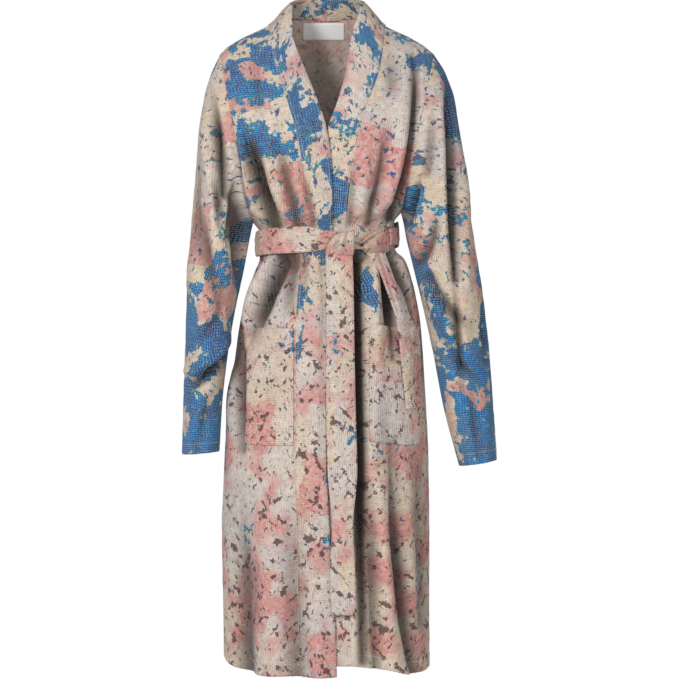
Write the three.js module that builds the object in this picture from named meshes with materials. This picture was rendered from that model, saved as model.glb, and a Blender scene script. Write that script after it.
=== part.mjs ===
// A kimono-style wrap robe of quilted cotton with its own tied belt, filled out as if worn, and hollow.
// Millimetres, +Z up. The front faces -Y, and the wearer's right is -X.
// The origin is the base of the neck, midway between the shoulders. "drop" is a distance below it.

import * as THREE from 'three';

// Cloth
const CLOTH = 2.4; // quilted cotton in two layers
const BAND_CLOTH = 3; // the doubled collar band
const BELT_CLOTH = 3.2; // the belt, folded and stitched
const LABEL_CLOTH = 0.8;
const SEAM = 0.3; // the gap that parts two pieces at a seam

// Driving sizes
const SHOULDER_OUT = 192; // centre to the sleeve seam, over the shoulder
const NECK_OUT = 104; // centre to the band seam, over the shoulder
const COLLAR_OUT = 64; // centre to the band's free edge, over the shoulder
const ARMPIT_OUT = 133;
const ARMPIT_DROP = 338;
const ARMHOLE_DEPTH = 78;
const TILT = 9; // the wearer's left side is higher at the waist by this much, the right lower
const TILT_END = 640; // below this the tilt has died out
const HEM_DROP = 1146;
const BELT_TOP = 356;
const BELT_BOTTOM = 400;
const BELT_CLEARANCE = 1;
const TUCK = 7.5; // how far the under front lies behind the over front
const NECK_SEAM_TURN = 0.33; // where the band seam crosses the centre back, as a share of the way down
const NECK_EDGE_TURN = 0.183; // the same for the band's top edge
const NECK_CURVE = 1.87; // above 1 the back neckline runs level and drops only near the shoulders
const CENTRE_SOFTNESS = 0.15; // rounds the chest and back over the centre line
const BACK_FULLNESS = 0.8; // below 1 the upper back is rounder than an ellipse

// The line over the shoulders, from the middle of the neck out to the sleeve seam
const SHOULDER_LINE = [
  { out: 0, drop: -74 },
  { out: 26, drop: -71.5 },
  { out: COLLAR_OUT, drop: -48 },
  { out: NECK_OUT, drop: -7 },
  { out: 150, drop: 15 },
  { out: 176, drop: 29 },
  { out: SHOULDER_OUT, drop: 44 },
];

// Half widths and depths of the body below the armpits
const GIRTH = [
  { drop: ARMPIT_DROP, right: ARMPIT_OUT, left: ARMPIT_OUT, front: 104, flank: ARMHOLE_DEPTH, back: 94 },
  { drop: BELT_TOP, right: 121, left: 121, front: 92, flank: 90, back: 84 },
  { drop: BELT_BOTTOM, right: 121, left: 122, front: 92, flank: 90, back: 84 },
  { drop: 430, right: 131, left: 141, front: 102, flank: 102, back: 95 },
  { drop: 470, right: 146, left: 156, front: 113, flank: 112, back: 107 },
  { drop: 540, right: 159, left: 169, front: 123, flank: 120, back: 118 },
  { drop: 640, right: 171, left: 176, front: 131, flank: 127, back: 127 },
  { drop: 760, right: 184, left: 182, front: 135, flank: 131, back: 132 },
  { drop: 900, right: 188, left: 184, front: 137, flank: 133, back: 135 },
  { drop: HEM_DROP, right: 185, left: 184, front: 138, flank: 134, back: 137 },
];

// The hem's drop round each part. "across" runs from -1 at the wearer's right side seam to 1 at the left
const HEM = {
  over: [
    { across: -1, drop: 1118 },
    { across: -0.72, drop: 1138 },
    { across: -0.4, drop: HEM_DROP },
    { across: 0.2, drop: HEM_DROP },
  ],
  under: [
    { across: -0.2, drop: 1127 },
    { across: 0.1, drop: 1127 },
    { across: 0.37, drop: 1136 },
    { across: 0.6, drop: 1148 },
    { across: 1, drop: 1139 },
  ],
  back: [
    { across: -1, drop: 1118 },
    { across: 0, drop: 1138 },
    { across: 1, drop: 1139 },
  ],
};

// The band's seam and free edge on each front
const OVER_SEAM = [
  { drop: -7, x: -NECK_OUT },
  { drop: 50, x: -95 },
  { drop: 115, x: -76 },
  { drop: 157, x: -63 },
  { drop: 193, x: -52 },
  { drop: 252, x: -42 },
  { drop: 300, x: -31 },
  { drop: 348, x: -19 },
  { drop: 400, x: -46 },
  { drop: 540, x: -54 },
  { drop: 745, x: -54 },
  { drop: HEM_DROP, x: -49 },
];
const OVER_EDGE = [
  { drop: -48, x: -COLLAR_OUT },
  { drop: 11, x: -62 },
  { drop: 74, x: -41 },
  { drop: 126, x: -20 },
  { drop: 191, x: 0 },
  { drop: 268, x: 8 },
  { drop: 371, x: 9 },
  { drop: 414, x: -3 },
  { drop: 666, x: -3 },
  { drop: 859, x: 3 },
  { drop: 956, x: 10 },
  { drop: HEM_DROP, x: 17 },
];
const UNDER_SEAM = [
  { drop: -7, x: NECK_OUT },
  { drop: 29, x: 101 },
  { drop: 81, x: 93 },
  { drop: 126, x: 77 },
  { drop: 171, x: 63 },
  { drop: 223, x: 50 },
  { drop: 360, x: 37 },
  { drop: HEM_DROP, x: 42 },
];
const UNDER_EDGE = [
  { drop: -48, x: COLLAR_OUT },
  { drop: -18, x: 56 },
  { drop: 11, x: 46 },
  { drop: 90, x: 33 },
  { drop: 139, x: 18 },
  { drop: 178, x: 3 },
  { drop: 230, x: -6 },
  { drop: 400, x: -14 },
  { drop: HEM_DROP, x: -14 },
];

// The pockets: the upright edges' distance from the centre, and the top and bottom
const POCKET_TOP = 538;
const POCKET_BOTTOM = 742;
const POCKETS = {
  over: { inner: 58, outer: 146 },
  under: { inner: 76, outer: 166 },
};
const POCKET_CLEARANCE = 0.4;

// A table from its columns' names and its rows of values
const table = (columns, ...rows) =>
  rows.map((row) => Object.fromEntries(columns.map((name, i) => [name, row[i]])));

// Folds: soft lines through three points, seen from the front or the back.
// "depth" is how far the cloth goes in (below 0) or stands out at the start, the middle and the end.
const FOLD_COLUMNS = ['x0', 'drop0', 'x1', 'drop1', 'x2', 'drop2', 'width', 'depth0', 'depth1', 'depth2'];
const FOLDS = {
  over: table(FOLD_COLUMNS,
    [-176, 131, -146, 220, -94, 350, 14, -5, -12, -10],
    [-150, 150, -118, 240, -66, 350, 18, 0, 6, 7],
    [-64, 180, -50, 270, -34, 345, 12, 1, 5, 6],
    [-88, 414, -114, 480, -126, 540, 10, -8, -9, -3],
    [-112, 410, -140, 465, -152, 540, 9, -8, -8, -6],
    [-60, 405, -66, 470, -70, 530, 10, -6, -5, 0],
    [-157, 545, -155, 650, -160, 820, 10, -9, -13, -3],
    [-110, 780, -102, 950, -98, 1150, 34, 0, 7, 9],
    [-150, 830, -146, 1000, -142, 1150, 22, 0, -9, -12],
  ),
  under: table(FOLD_COLUMNS,
    [157, 62, 153, 203, 115, 335, 14, -5, -12, -10],
    [132, 120, 122, 230, 88, 345, 18, 0, 6, 7],
    [54, 408, 63, 720, 72, 1150, 17, -14, -30, -12],
    [80, 420, 86, 480, 92, 600, 13, 3, 8, 2],
    [104, 408, 111, 465, 118, 560, 9, -12, -13, -4],
    [115, 680, 118, 860, 134, 1060, 10, -3, -8, -5],
    [148, 860, 150, 1010, 152, 1150, 24, 0, 9, 12],
  ),
  back: table(FOLD_COLUMNS,
    [-150, 90, -128, 220, -96, 345, 18, -3, -10, -9],
    [150, 80, 130, 210, 92, 340, 18, -3, -10, -9],
    [-42, 190, -38, 280, -34, 350, 15, 0, -6, -8],
    [44, 210, 40, 290, 34, 350, 15, 0, -6, -8],
    [-92, 405, -108, 480, -118, 640, 12, -9, -10, 0],
    [-50, 405, -60, 540, -72, 860, 14, -10, -11, -3],
    [-8, 405, -6, 500, -4, 760, 12, -10, -9, 0],
    [38, 405, 50, 560, 64, 900, 15, -10, -12, -4],
    [86, 405, 104, 480, 116, 620, 11, -9, -9, 0],
    [-130, 700, -126, 900, -122, 1150, 26, 0, -9, -13],
    [-30, 760, -30, 950, -30, 1150, 34, 0, 7, 9],
    [116, 720, 112, 900, 110, 1150, 28, 0, -9, -12],
  ),
};

// Sleeves: rings from the armhole to the cuff. Each ring spans an outer and an inner point
const RING_COLUMNS = ['along', 'outerX', 'outerDrop', 'innerX', 'innerDrop', 'depth', 'forward'];
const SLEEVES = {
  right: {
    side: -1,
    rings: table(RING_COLUMNS,
      [0, SHOULDER_OUT, 44, ARMPIT_OUT, ARMPIT_DROP + TILT, ARMHOLE_DEPTH, 0],
      [0.06, 210, 84, 134.5, 354, 82, 2],
      [0.13, 222, 130, 136, 361, 84, 4],
      [0.21, 231, 200, 138, 371, 85, 7],
      [0.31, 238, 285, 141, 388, 84, 11],
      [0.43, 246, 385, 148, 427, 80, 15],
      [0.56, 251, 485, 165, 507, 72, 19],
      [0.7, 254, 580, 178, 588, 64, 23],
      [0.84, 257, 670, 187, 670, 56, 27],
      [1, 259, 761, 192, 756, 49, 30],
    ),
    folds: {
      front: table(FOLD_COLUMNS,
        [-240, 350, -205, 410, -160, 440, 16, 0, -8, -7],
        [-250, 470, -212, 545, -178, 560, 24, 4, 11, 7],
        [-248, 650, -218, 622, -184, 596, 13, -4, -10, -6],
        [-196, 250, -188, 310, -176, 370, 13, 0, -8, -4],
      ),
      back: table(FOLD_COLUMNS,
        [-236, 300, -200, 370, -160, 410, 18, 0, -8, -6],
        [-246, 540, -214, 580, -182, 590, 16, -3, -8, -4],
      ),
    },
  },
  left: {
    side: 1,
    rings: table(RING_COLUMNS,
      [0, SHOULDER_OUT, 44, ARMPIT_OUT, ARMPIT_DROP - TILT, ARMHOLE_DEPTH, 0],
      [0.06, 214, 80, 135, 337, 82, 2],
      [0.13, 229, 125, 137, 345, 84, 4],
      [0.21, 239, 190, 139, 356, 85, 7],
      [0.31, 249, 275, 142, 374, 84, 11],
      [0.43, 263, 372, 151, 412, 80, 15],
      [0.56, 280, 480, 170, 490, 72, 19],
      [0.7, 290, 572, 189, 576, 64, 23],
      [0.84, 297, 668, 209, 680, 56, 27],
      [1, 304, 771, 236, 782, 49, 30],
    ),
    folds: {
      front: table(FOLD_COLUMNS,
        [229, 120, 228, 260, 232, 430, 9, -4, -14, -8],
        [232, 430, 240, 560, 262, 690, 10, -8, -9, 0],
        [160, 292, 152, 320, 146, 350, 9, -3, -7, -3],
        [180, 470, 214, 520, 260, 540, 16, -7, -8, 0],
      ),
      back: table(FOLD_COLUMNS,
        [240, 280, 204, 350, 164, 396, 18, 0, -8, -6],
        [276, 520, 240, 566, 196, 590, 16, -3, -8, -4],
      ),
    },
  },
};

// The belt, its knot and its two tails
const BELT_START = 18; // the wrap starts behind the knot, this far to the wearer's left of the centre
const TWIST_CLEARANCE = 2.6;
const TWIST_EDGE = 0.8; // how much thinner the twist is along its edges
const TWIST = table(['x', 'drop', 'half', 'bulge'],
  [48.5, 381, 9, 18],
  [64.4, 378.5, 11.2, 14.8],
  [80.2, 376, 15.7, 11.5],
  [96.1, 373.5, 19.4, 8.2],
  [112, 371, 20, 5],
);
const WRAP_GAP = 0.004; // in radians: parts the wrap's end from the twist
const KNOT = { x: 31, drop: 384, halfWidth: 17, halfHeight: 23, back: 95.4, thickness: 25 };
const LONG_TAIL = [
  { drop: KNOT.drop + KNOT.halfHeight + SEAM, x: 22, halfWidth: 22, proud: 20 },
  { drop: 470, x: 23, halfWidth: 23.5, proud: 8 },
  { drop: 560, x: 24, halfWidth: 24, proud: 6 },
  { drop: 666, x: 25, halfWidth: 25, proud: 6 },
  { drop: 790, x: 28, halfWidth: 25, proud: 6 },
  { drop: 882, x: 28, halfWidth: 18, proud: 8 },
  { drop: 955, x: 28, halfWidth: 21, proud: 6 },
  { drop: 1037, x: 31, halfWidth: 21, proud: 6 },
];
const SHORT_TAIL = [
  { drop: 404, x: 92, halfWidth: 11, proud: 12 },
  { drop: 459, x: 113, halfWidth: 12, proud: 12 },
  { drop: 504, x: 136, halfWidth: 15, proud: 12 },
  { drop: 567, x: 148, halfWidth: 17, proud: 12 },
  { drop: 680, x: 155, halfWidth: 14, proud: 12 },
];
const LABEL = { left: -44, right: 31, top: -20, bottom: 10, clearance: 1.1 };

// How finely each piece is divided
const CHEST_STEPS = [0.001, 0.06, 0.13, 0.2, 0.28, 0.36, 0.45, 0.55, 0.65, 0.76, 0.88, 1];
const SKIRT_DROPS = [
  347, 356, 378, 400, 412, 428, 448, 470, 500, POCKET_TOP, 575, 620, 660, 700, POCKET_BOTTOM, 800, 870, 950,
  1045, HEM_DROP,
];
const NECK_STEPS = 8; // from the shoulder to the centre back
const BACK_SIDE_STEPS = 6;
const FRONT_SPANS = {
  over: [1, 7, 4],
  under: [3, 7, 3],
};
const BAND_STEPS = 3;
const RING_SIDES = 24;
const RING_START = 0.0008; // parts a sleeve from the armhole
const RING_STEPS = [
  RING_START, 0.03, 0.06, 0.1, 0.15, 0.21, 0.27, 0.34, 0.42, 0.5, 0.57, 0.64, 0.71, 0.79, 0.89, 1,
];
const BELT_STEPS = 52;
const TWIST_STEPS = 8;
const LONG_TAIL_STEPS = 18;
const SHORT_TAIL_STEPS = 10;
const KNOT_SIDES = 14;
const KNOT_RINGS = 10;
const KNOT_SQUARENESS = 0.55;
const FOLD_SAMPLES = 12;

const HALF_TURN = Math.PI;
const QUARTER_TURN = Math.PI / 2;
const TINY = 1e-4;

const mix = (a, b, share) => a + (b - a) * share;
const limit = (value, low, high) => Math.min(high, Math.max(low, value));
const ease = (value) => {
  const t = limit(value, 0, 1);
  return t * t * (3 - 2 * t);
};

// Reads a table at any value of its key column, as smooth curves that never overshoot the rows
function reader(rows, key) {
  const keys = rows.map((row) => row[key]);
  const columns = Object.keys(rows[0]).filter((name) => name !== key);
  const last = keys.length - 1;
  const secant = (name, i) => (rows[i + 1][name] - rows[i][name]) / (keys[i + 1] - keys[i]);
  const slope = (name, i) => {
    if (i === 0) return secant(name, 0);
    if (i === last) return secant(name, last - 1);
    const before = secant(name, i - 1);
    const after = secant(name, i);
    return before * after <= 0 ? 0 : (2 * before * after) / (before + after);
  };
  const slopes = Object.fromEntries(columns.map((name) => [name, keys.map((value, i) => slope(name, i))]));
  return (value) => {
    const at = limit(value, keys[0], keys[last]);
    let i = 0;
    while (i < last - 1 && at > keys[i + 1]) i += 1;
    const span = keys[i + 1] - keys[i];
    const t = (at - keys[i]) / span;
    const result = {};
    for (const name of columns) {
      const start = rows[i][name];
      const end = rows[i + 1][name];
      const lean = slopes[name][i] * span;
      const finish = slopes[name][i + 1] * span;
      const bend = t * t * (3 - 2 * t);
      result[name] = mix(start, end, bend) + lean * t * (1 - t) * (1 - t) - finish * t * t * (1 - t);
    }
    return result;
  };
}

const shoulderLine = reader(SHOULDER_LINE, 'out');
const girth = reader(GIRTH, 'drop');
const hem = Object.fromEntries(Object.keys(HEM).map((part) => [part, reader(HEM[part], 'across')]));
const overSeam = reader(OVER_SEAM, 'drop');
const overEdge = reader(OVER_EDGE, 'drop');
const underSeam = reader(UNDER_SEAM, 'drop');
const underEdge = reader(UNDER_EDGE, 'drop');

// The body without its folds. "across" runs from -1 to 1 between the side seams, "down" from 0 at the
// shoulder to 1 at the armpits and on to 2 at the hem. face is -1 in front and 1 behind
function bodyBase(part, across, down) {
  const face = part === 'back' ? 1 : -1;
  return down <= 1 ? chestPoint(face, across, down) : skirtPoint(part, face, across, down - 1);
}

function chestPoint(face, across, down) {
  const out = Math.abs(across);
  const softened = (value) => Math.hypot(value, CENTRE_SOFTNESS) - CENTRE_SOFTNESS;
  const soft = softened(out) / softened(1);
  const whole = (HALF_TURN * (1 + mix(soft, out, down * down))) / 2;
  const turn = down * whole;
  const share = (1 - Math.cos(turn)) / (1 - Math.cos(whole));
  const top = shoulderLine(out * SHOULDER_OUT);
  const lowX = ARMPIT_OUT * Math.sin(QUARTER_TURN * out);
  const lowDrop = ARMPIT_DROP - TILT * across;
  const middle = girth(ARMPIT_DROP);
  const depth = mix(face < 0 ? middle.front : middle.back, ARMHOLE_DEPTH, out * out);
  const swell = Math.sin(turn);
  const fullness = face > 0 ? mix(BACK_FULLNESS, 1, out * out * down) : 1;
  const forward = Math.sign(swell) * Math.abs(swell) ** fullness;
  return new THREE.Vector3(
    Math.sign(across) * mix(out * SHOULDER_OUT, lowX, share),
    face * depth * forward,
    -mix(top.drop, lowDrop, share),
  );
}

function skirtPoint(part, face, across, share) {
  const drop = mix(ARMPIT_DROP, hem[part](across).drop, share);
  const size = girth(drop);
  const width = across < 0 ? size.right : size.left;
  const turn = QUARTER_TURN * across;
  const depth = mix(face < 0 ? size.front : size.back, size.flank, Math.min(1, across * across));
  const tilt = TILT * across * (1 - ease((drop - BELT_BOTTOM) / (TILT_END - BELT_BOTTOM)));
  return new THREE.Vector3(width * Math.sin(turn), face * depth * Math.cos(turn), tilt - drop);
}

// A fold's line as a short chain of points
function foldChain(fold) {
  const chain = [];
  const middleX = 2 * fold.x1 - (fold.x0 + fold.x2) / 2;
  const middleDrop = 2 * fold.drop1 - (fold.drop0 + fold.drop2) / 2;
  for (let i = 0; i <= FOLD_SAMPLES; i += 1) {
    const t = i / FOLD_SAMPLES;
    const start = (1 - t) * (1 - t);
    const centre = 2 * t * (1 - t);
    const end = t * t;
    const { depth0, depth1, depth2 } = fold;
    const depth = t < 0.5 ? mix(depth0, depth1, ease(2 * t)) : mix(depth1, depth2, ease(2 * t - 1));
    chain.push({
      x: start * fold.x0 + centre * middleX + end * fold.x2,
      drop: start * fold.drop0 + centre * middleDrop + end * fold.drop2,
      depth,
    });
  }
  return { chain, width: fold.width };
}

// How far the folds move the cloth at a place seen from the front or the back
function foldHeight(folds, x, drop) {
  let height = 0;
  for (const { chain, width } of folds) {
    let nearest = Infinity;
    let depth = 0;
    for (let i = 0; i < chain.length - 1; i += 1) {
      const [a, b] = [chain[i], chain[i + 1]];
      const [alongX, alongDrop] = [b.x - a.x, b.drop - a.drop];
      const along = (x - a.x) * alongX + (drop - a.drop) * alongDrop;
      const t = limit(along / (alongX ** 2 + alongDrop ** 2), 0, 1);
      const distance = Math.hypot(x - a.x - alongX * t, drop - a.drop - alongDrop * t);
      if (distance < nearest) {
        nearest = distance;
        depth = mix(a.depth, b.depth, t);
      }
    }
    height += depth * Math.exp(-((nearest / width) ** 2));
  }
  return height;
}

const bodyFolds = Object.fromEntries(Object.keys(FOLDS).map((part) => [part, FOLDS[part].map(foldChain)]));

// Folds die out under the belt and at the side seams, and the under front tucks in behind the over front
function bodyRelief(part, across, point) {
  const drop = -point.z + TILT * across;
  const belt = Math.max(1 - ease((drop - BELT_TOP + 60) / 52), ease((drop - BELT_BOTTOM - 2) / 14));
  const side = ease((1 - Math.abs(across)) / 0.1);
  let height = foldHeight(bodyFolds[part], point.x, -point.z) * belt * side;
  if (part === 'under') {
    height -= TUCK * (1 - ease((point.x - 22) / 30)) * ease((drop - 95) / 70);
  }
  return height;
}

// A direction square to a surface, from four neighbours. "turned" is 1 or -1 and sets the outer side
function squareTo(surface, a, b, turned) {
  const alongA = surface(a + TINY, b).sub(surface(a - TINY, b));
  const alongB = surface(a, b + TINY).sub(surface(a, b - TINY));
  return alongA.cross(alongB).normalize().multiplyScalar(turned);
}

function bodySurface(part) {
  const turned = part === 'back' ? -1 : 1;
  const base = (across, down) => bodyBase(part, across, down);
  const folded = (across, down) => {
    const point = base(across, down);
    return point.addScaledVector(squareTo(base, across, down, -turned), bodyRelief(part, across, point));
  };
  return { point: folded, outward: (across, down) => squareTo(folded, across, down, -turned) };
}

const surfaces = Object.fromEntries(['over', 'under', 'back'].map((part) => [part, bodySurface(part)]));

// The value of "across" where a part reaches the x that a rail gives at that height
function acrossAtRail(part, rail, down) {
  let low = -0.95;
  let high = 0.95;
  for (let i = 0; i < 40; i += 1) {
    const middle = (low + high) / 2;
    const point = bodyBase(part, middle, down);
    if (point.x < rail(-point.z).x) low = middle;
    else high = middle;
  }
  return (low + high) / 2;
}

const downAtDrop = (drop) => 1 + (drop - ARMPIT_DROP) / (HEM_DROP - ARMPIT_DROP);
const bodyRows = [...CHEST_STEPS, ...SKIRT_DROPS.map(downAtDrop)];

// Outer and inner points of one cloth, moved out by "lift" from the surface that it follows
function clothLayers(surface, rows, thickness, lift = 0, rim = null) {
  const outer = [];
  const inner = [];
  for (const row of rows) {
    const outerRow = [];
    const innerRow = [];
    for (const [a, b] of row) {
      const point = surface.point(a, b);
      const outward = surface.outward(a, b);
      outerRow.push(point.clone().addScaledVector(outward, lift + (lift > 0 ? thickness : 0)));
      const inward = outward.clone().multiplyScalar(-thickness);
      if (rim) rim(a, b, inward);
      innerRow.push(outerRow.at(-1).clone().add(inward));
    }
    outer.push(outerRow);
    inner.push(innerRow);
  }
  return { outer, inner };
}

// Joins two grids of points into one closed wall. A ring closes each row on itself
function closedWall(name, { outer, inner }, colour, ring = false) {
  const rows = outer.length;
  const columns = outer[0].length;
  const positions = [...outer.flat(), ...inner.flat()].flatMap((point) => [point.x, point.y, point.z]);
  const index = [];
  const at = (layer, row, column) => (layer * rows + row) * columns + (column % columns);
  const quad = (a, b, c, d) => index.push(a, b, c, a, c, d);
  const spans = ring ? columns : columns - 1;
  for (let row = 0; row < rows - 1; row += 1) {
    for (let column = 0; column < spans; column += 1) {
      const next = column + 1;
      quad(at(0, row, column), at(0, row, next), at(0, row + 1, next), at(0, row + 1, column));
      quad(at(1, row, column), at(1, row + 1, column), at(1, row + 1, next), at(1, row, next));
    }
  }
  for (let column = 0; column < spans; column += 1) {
    const next = column + 1;
    const end = rows - 1;
    quad(at(0, 0, column), at(1, 0, column), at(1, 0, next), at(0, 0, next));
    quad(at(0, end, column), at(0, end, next), at(1, end, next), at(1, end, column));
  }
  for (let row = 0; row < rows - 1 && !ring; row += 1) {
    const end = columns - 1;
    quad(at(0, row, 0), at(0, row + 1, 0), at(1, row + 1, 0), at(1, row, 0));
    quad(at(0, row, end), at(1, row, end), at(1, row + 1, end), at(0, row + 1, end));
  }
  return closedMesh(name, positions, index, colour);
}

// A mesh whose faces point outwards, turned round if its volume comes out negative
function closedMesh(name, positions, index, colour) {
  const corner = (i) => new THREE.Vector3().fromArray(positions, 3 * index[i]);
  let volume = 0;
  for (let i = 0; i < index.length; i += 3) {
    volume += corner(i).dot(corner(i + 1).cross(corner(i + 2)));
  }
  if (volume < 0) {
    index.reverse();
  }
  const geometry = new THREE.BufferGeometry();
  geometry.setAttribute('position', new THREE.Float32BufferAttribute(positions, 3));
  geometry.setIndex(index);
  geometry.computeVertexNormals();
  const material = new THREE.MeshStandardMaterial({ color: colour, roughness: 0.9, metalness: 0 });
  const mesh = new THREE.Mesh(geometry, material);
  mesh.name = name;
  return mesh;
}

// Evenly spaced values from one end to the other
const spread = (from, to, steps) =>
  Array.from({ length: steps + 1 }, (unused, i) => mix(from, to, i / steps));

// The armhole's plane: at its rim no cloth may cross it, so a rim that would is laid into the plane
function armholeRim(side, keepSide) {
  const top = bodyBase('over', side, 0);
  const bottom = bodyBase('over', side, 1);
  const run = bottom.clone().sub(top).normalize();
  const outwardX = new THREE.Vector3(-run.z * side, 0, run.x * side).normalize();
  if (outwardX.x * side < 0) outwardX.negate();
  return (inward) => {
    const crossing = inward.dot(outwardX) * keepSide;
    if (crossing >= 0) return;
    const thickness = inward.length();
    inward.addScaledVector(outwardX, -crossing * keepSide);
    inward.setLength(Math.min(thickness, 2.5 * inward.length()));
  };
}

const SIDE_TRIM = 0.0012; // in "across": about a quarter of a millimetre at the side seam and armhole
const RIM_EDGE = 0.995; // beyond this "across" is the armhole's rim
const BAND_TRIM = 0.008; // parts the band from the back's neckline, as a share of the band's width
const BAND_JOIN = 0.005; // in radians: parts the two bands at the centre back

function bodyRim(side) {
  const flatten = armholeRim(side, -1);
  return (across, down, inward) => {
    if (across * side > RIM_EDGE && down < 1) flatten(inward);
  };
}

// Share of the way from the band seam to the side seam at which a pocket's upright edge lies
function pocketShare(part, side, out, down) {
  const drop = limit(mix(ARMPIT_DROP, HEM_DROP, down - 1), POCKET_TOP, POCKET_BOTTOM);
  const size = girth(drop);
  const across = Math.asin(out / (side < 0 ? size.right : size.left)) / QUARTER_TURN;
  const rail = part === 'over' ? overSeam : underSeam;
  const seam = Math.abs(acrossAtRail(part, rail, downAtDrop(drop)));
  return (across - seam) / (1 - seam);
}

// The columns of a front at one height: band seam, pocket's inner edge, pocket's outer edge, side seam
function frontColumns(part, side, down) {
  const rail = part === 'over' ? overSeam : underSeam;
  const seam = acrossAtRail(part, rail, down) + side * SIDE_TRIM;
  const edge = side * (1 - SIDE_TRIM);
  const shares = [POCKETS[part].inner, POCKETS[part].outer].map((out) => pocketShare(part, side, out, down));
  const stops = [seam, mix(seam, edge, shares[0]), mix(seam, edge, shares[1]), edge];
  const span = (steps, i) => spread(stops[i], stops[i + 1], steps).slice(i === 0 ? 0 : 1);
  return FRONT_SPANS[part].flatMap(span);
}

function frontRows(part, side) {
  return bodyRows.map((down) => frontColumns(part, side, down).map((across) => [across, down]));
}

function makeFront(name, part, side, colour) {
  const layers = clothLayers(surfaces[part], frontRows(part, side), CLOTH, 0, bodyRim(side));
  return closedWall(name, layers, colour);
}

// A patch pocket: the front's own points between the pocket's edges, moved out
function makePocket(name, part, side, colour) {
  const first = FRONT_SPANS[part][0];
  const last = first + FRONT_SPANS[part][1];
  const top = bodyRows.indexOf(downAtDrop(POCKET_TOP));
  const bottom = bodyRows.indexOf(downAtDrop(POCKET_BOTTOM));
  const rows = frontRows(part, side).slice(top, bottom + 1).map((row) => row.slice(first, last + 1));
  return closedWall(name, clothLayers(surfaces[part], rows, CLOTH, POCKET_CLEARANCE), colour);
}

// Where the back starts, as a share of the way down the chest: at the shoulder seam or the neckline
function backTop(across) {
  const out = Math.min(1, Math.abs(across) / (NECK_OUT / SHOULDER_OUT));
  return Math.max(CHEST_STEPS[0], NECK_SEAM_TURN * (1 - out * out) ** (NECK_CURVE / 2));
}

function makeBack(colour) {
  const neck = NECK_OUT / SHOULDER_OUT;
  const round = spread(0, HALF_TURN, 2 * NECK_STEPS).map((angle) => -neck * Math.cos(angle));
  const side = spread(1 - SIDE_TRIM, neck, BACK_SIDE_STEPS).slice(0, -1);
  const columns = [...side.map((value) => -value), ...round, ...side.slice().reverse()];
  const start = CHEST_STEPS[0];
  const lowered = (across, down) => (down < 1 ? mix(backTop(across), 1, (down - start) / (1 - start)) : down);
  const rows = bodyRows.map((down) => columns.map((across) => [across, lowered(across, down)]));
  const rims = [bodyRim(-1), bodyRim(1)];
  const rim = (across, down, inward) => rims.forEach((each) => each(across, down, inward));
  return closedWall('back', clothLayers(surfaces.back, rows, CLOTH, 0, rim), colour);
}

// The collar band: round the neck on the back's surface, then down its front to the hem
function makeBand(name, part, side, colour) {
  const [seamRail, edgeRail] = part === 'over' ? [overSeam, overEdge] : [underSeam, underEdge];
  const neckRows = spread(QUARTER_TURN - BAND_JOIN, 0, NECK_STEPS).map((angle) => {
    const out = (side * Math.cos(angle)) / SHOULDER_OUT;
    const rise = Math.sin(angle) ** NECK_CURVE;
    const seam = [NECK_OUT * out, NECK_SEAM_TURN * rise];
    const edge = [COLLAR_OUT * out, NECK_EDGE_TURN * rise];
    const place = (share) => [mix(seam[0], edge[0], share), mix(seam[1], edge[1], share)];
    return spread(BAND_TRIM, 1, BAND_STEPS).map(place);
  });
  const frontRowsOfBand = bodyRows.slice(1).map((down) => {
    const seam = acrossAtRail(part, seamRail, down) - (side * SIDE_TRIM) / 2;
    const edge = acrossAtRail(part, edgeRail, down);
    return spread(seam, edge, BAND_STEPS).map((across) => [across, down]);
  });
  const neck = clothLayers(surfaces.back, neckRows, BAND_CLOTH);
  const front = clothLayers(surfaces[part], frontRowsOfBand, BAND_CLOTH);
  const layers = { outer: [...neck.outer, ...front.outer], inner: [...neck.inner, ...front.inner] };
  return closedWall(name, layers, colour);
}

function sleeveSurface({ side, rings, folds }) {
  const ringAt = reader(rings, 'along');
  const chains = { front: folds.front.map(foldChain), back: folds.back.map(foldChain) };
  const base = (angle, along) => {
    const ring = ringAt(along);
    const share = (1 + Math.cos(angle)) / 2;
    const x = mix(ring.innerX, ring.outerX, share);
    const drop = mix(ring.innerDrop, ring.outerDrop, share);
    return new THREE.Vector3(side * x, -ring.forward - ring.depth * Math.sin(angle), -drop);
  };
  const folded = (angle, along) => {
    const point = base(angle, along);
    const facing = Math.sin(angle);
    const height = foldHeight(facing > 0 ? chains.front : chains.back, point.x, -point.z);
    const fade = ease((along - 0.02) / 0.1) * ease(Math.abs(facing) / 0.5);
    return point.addScaledVector(squareTo(base, angle, along, side), height * fade);
  };
  return { point: folded, outward: (angle, along) => squareTo(folded, angle, along, side) };
}

function makeSleeve(name, sleeve, colour) {
  const flatten = armholeRim(sleeve.side, 1);
  const angles = spread(0, 2 * HALF_TURN, RING_SIDES).slice(0, -1);
  const rows = RING_STEPS.map((along) => angles.map((angle) => [angle, along]));
  const rim = (angle, along, inward) => {
    if (along === RING_START) flatten(inward);
  };
  return closedWall(name, clothLayers(sleeveSurface(sleeve), rows, CLOTH, 0, rim), colour, true);
}

// The body's outer front at a place seen from the front, without folds
function frontDepth(x, drop) {
  const size = girth(drop);
  const across = Math.asin(limit(x / (x < 0 ? size.right : size.left), -1, 1)) / QUARTER_TURN;
  return mix(size.front, size.flank, across * across) * Math.cos(QUARTER_TURN * across);
}

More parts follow.
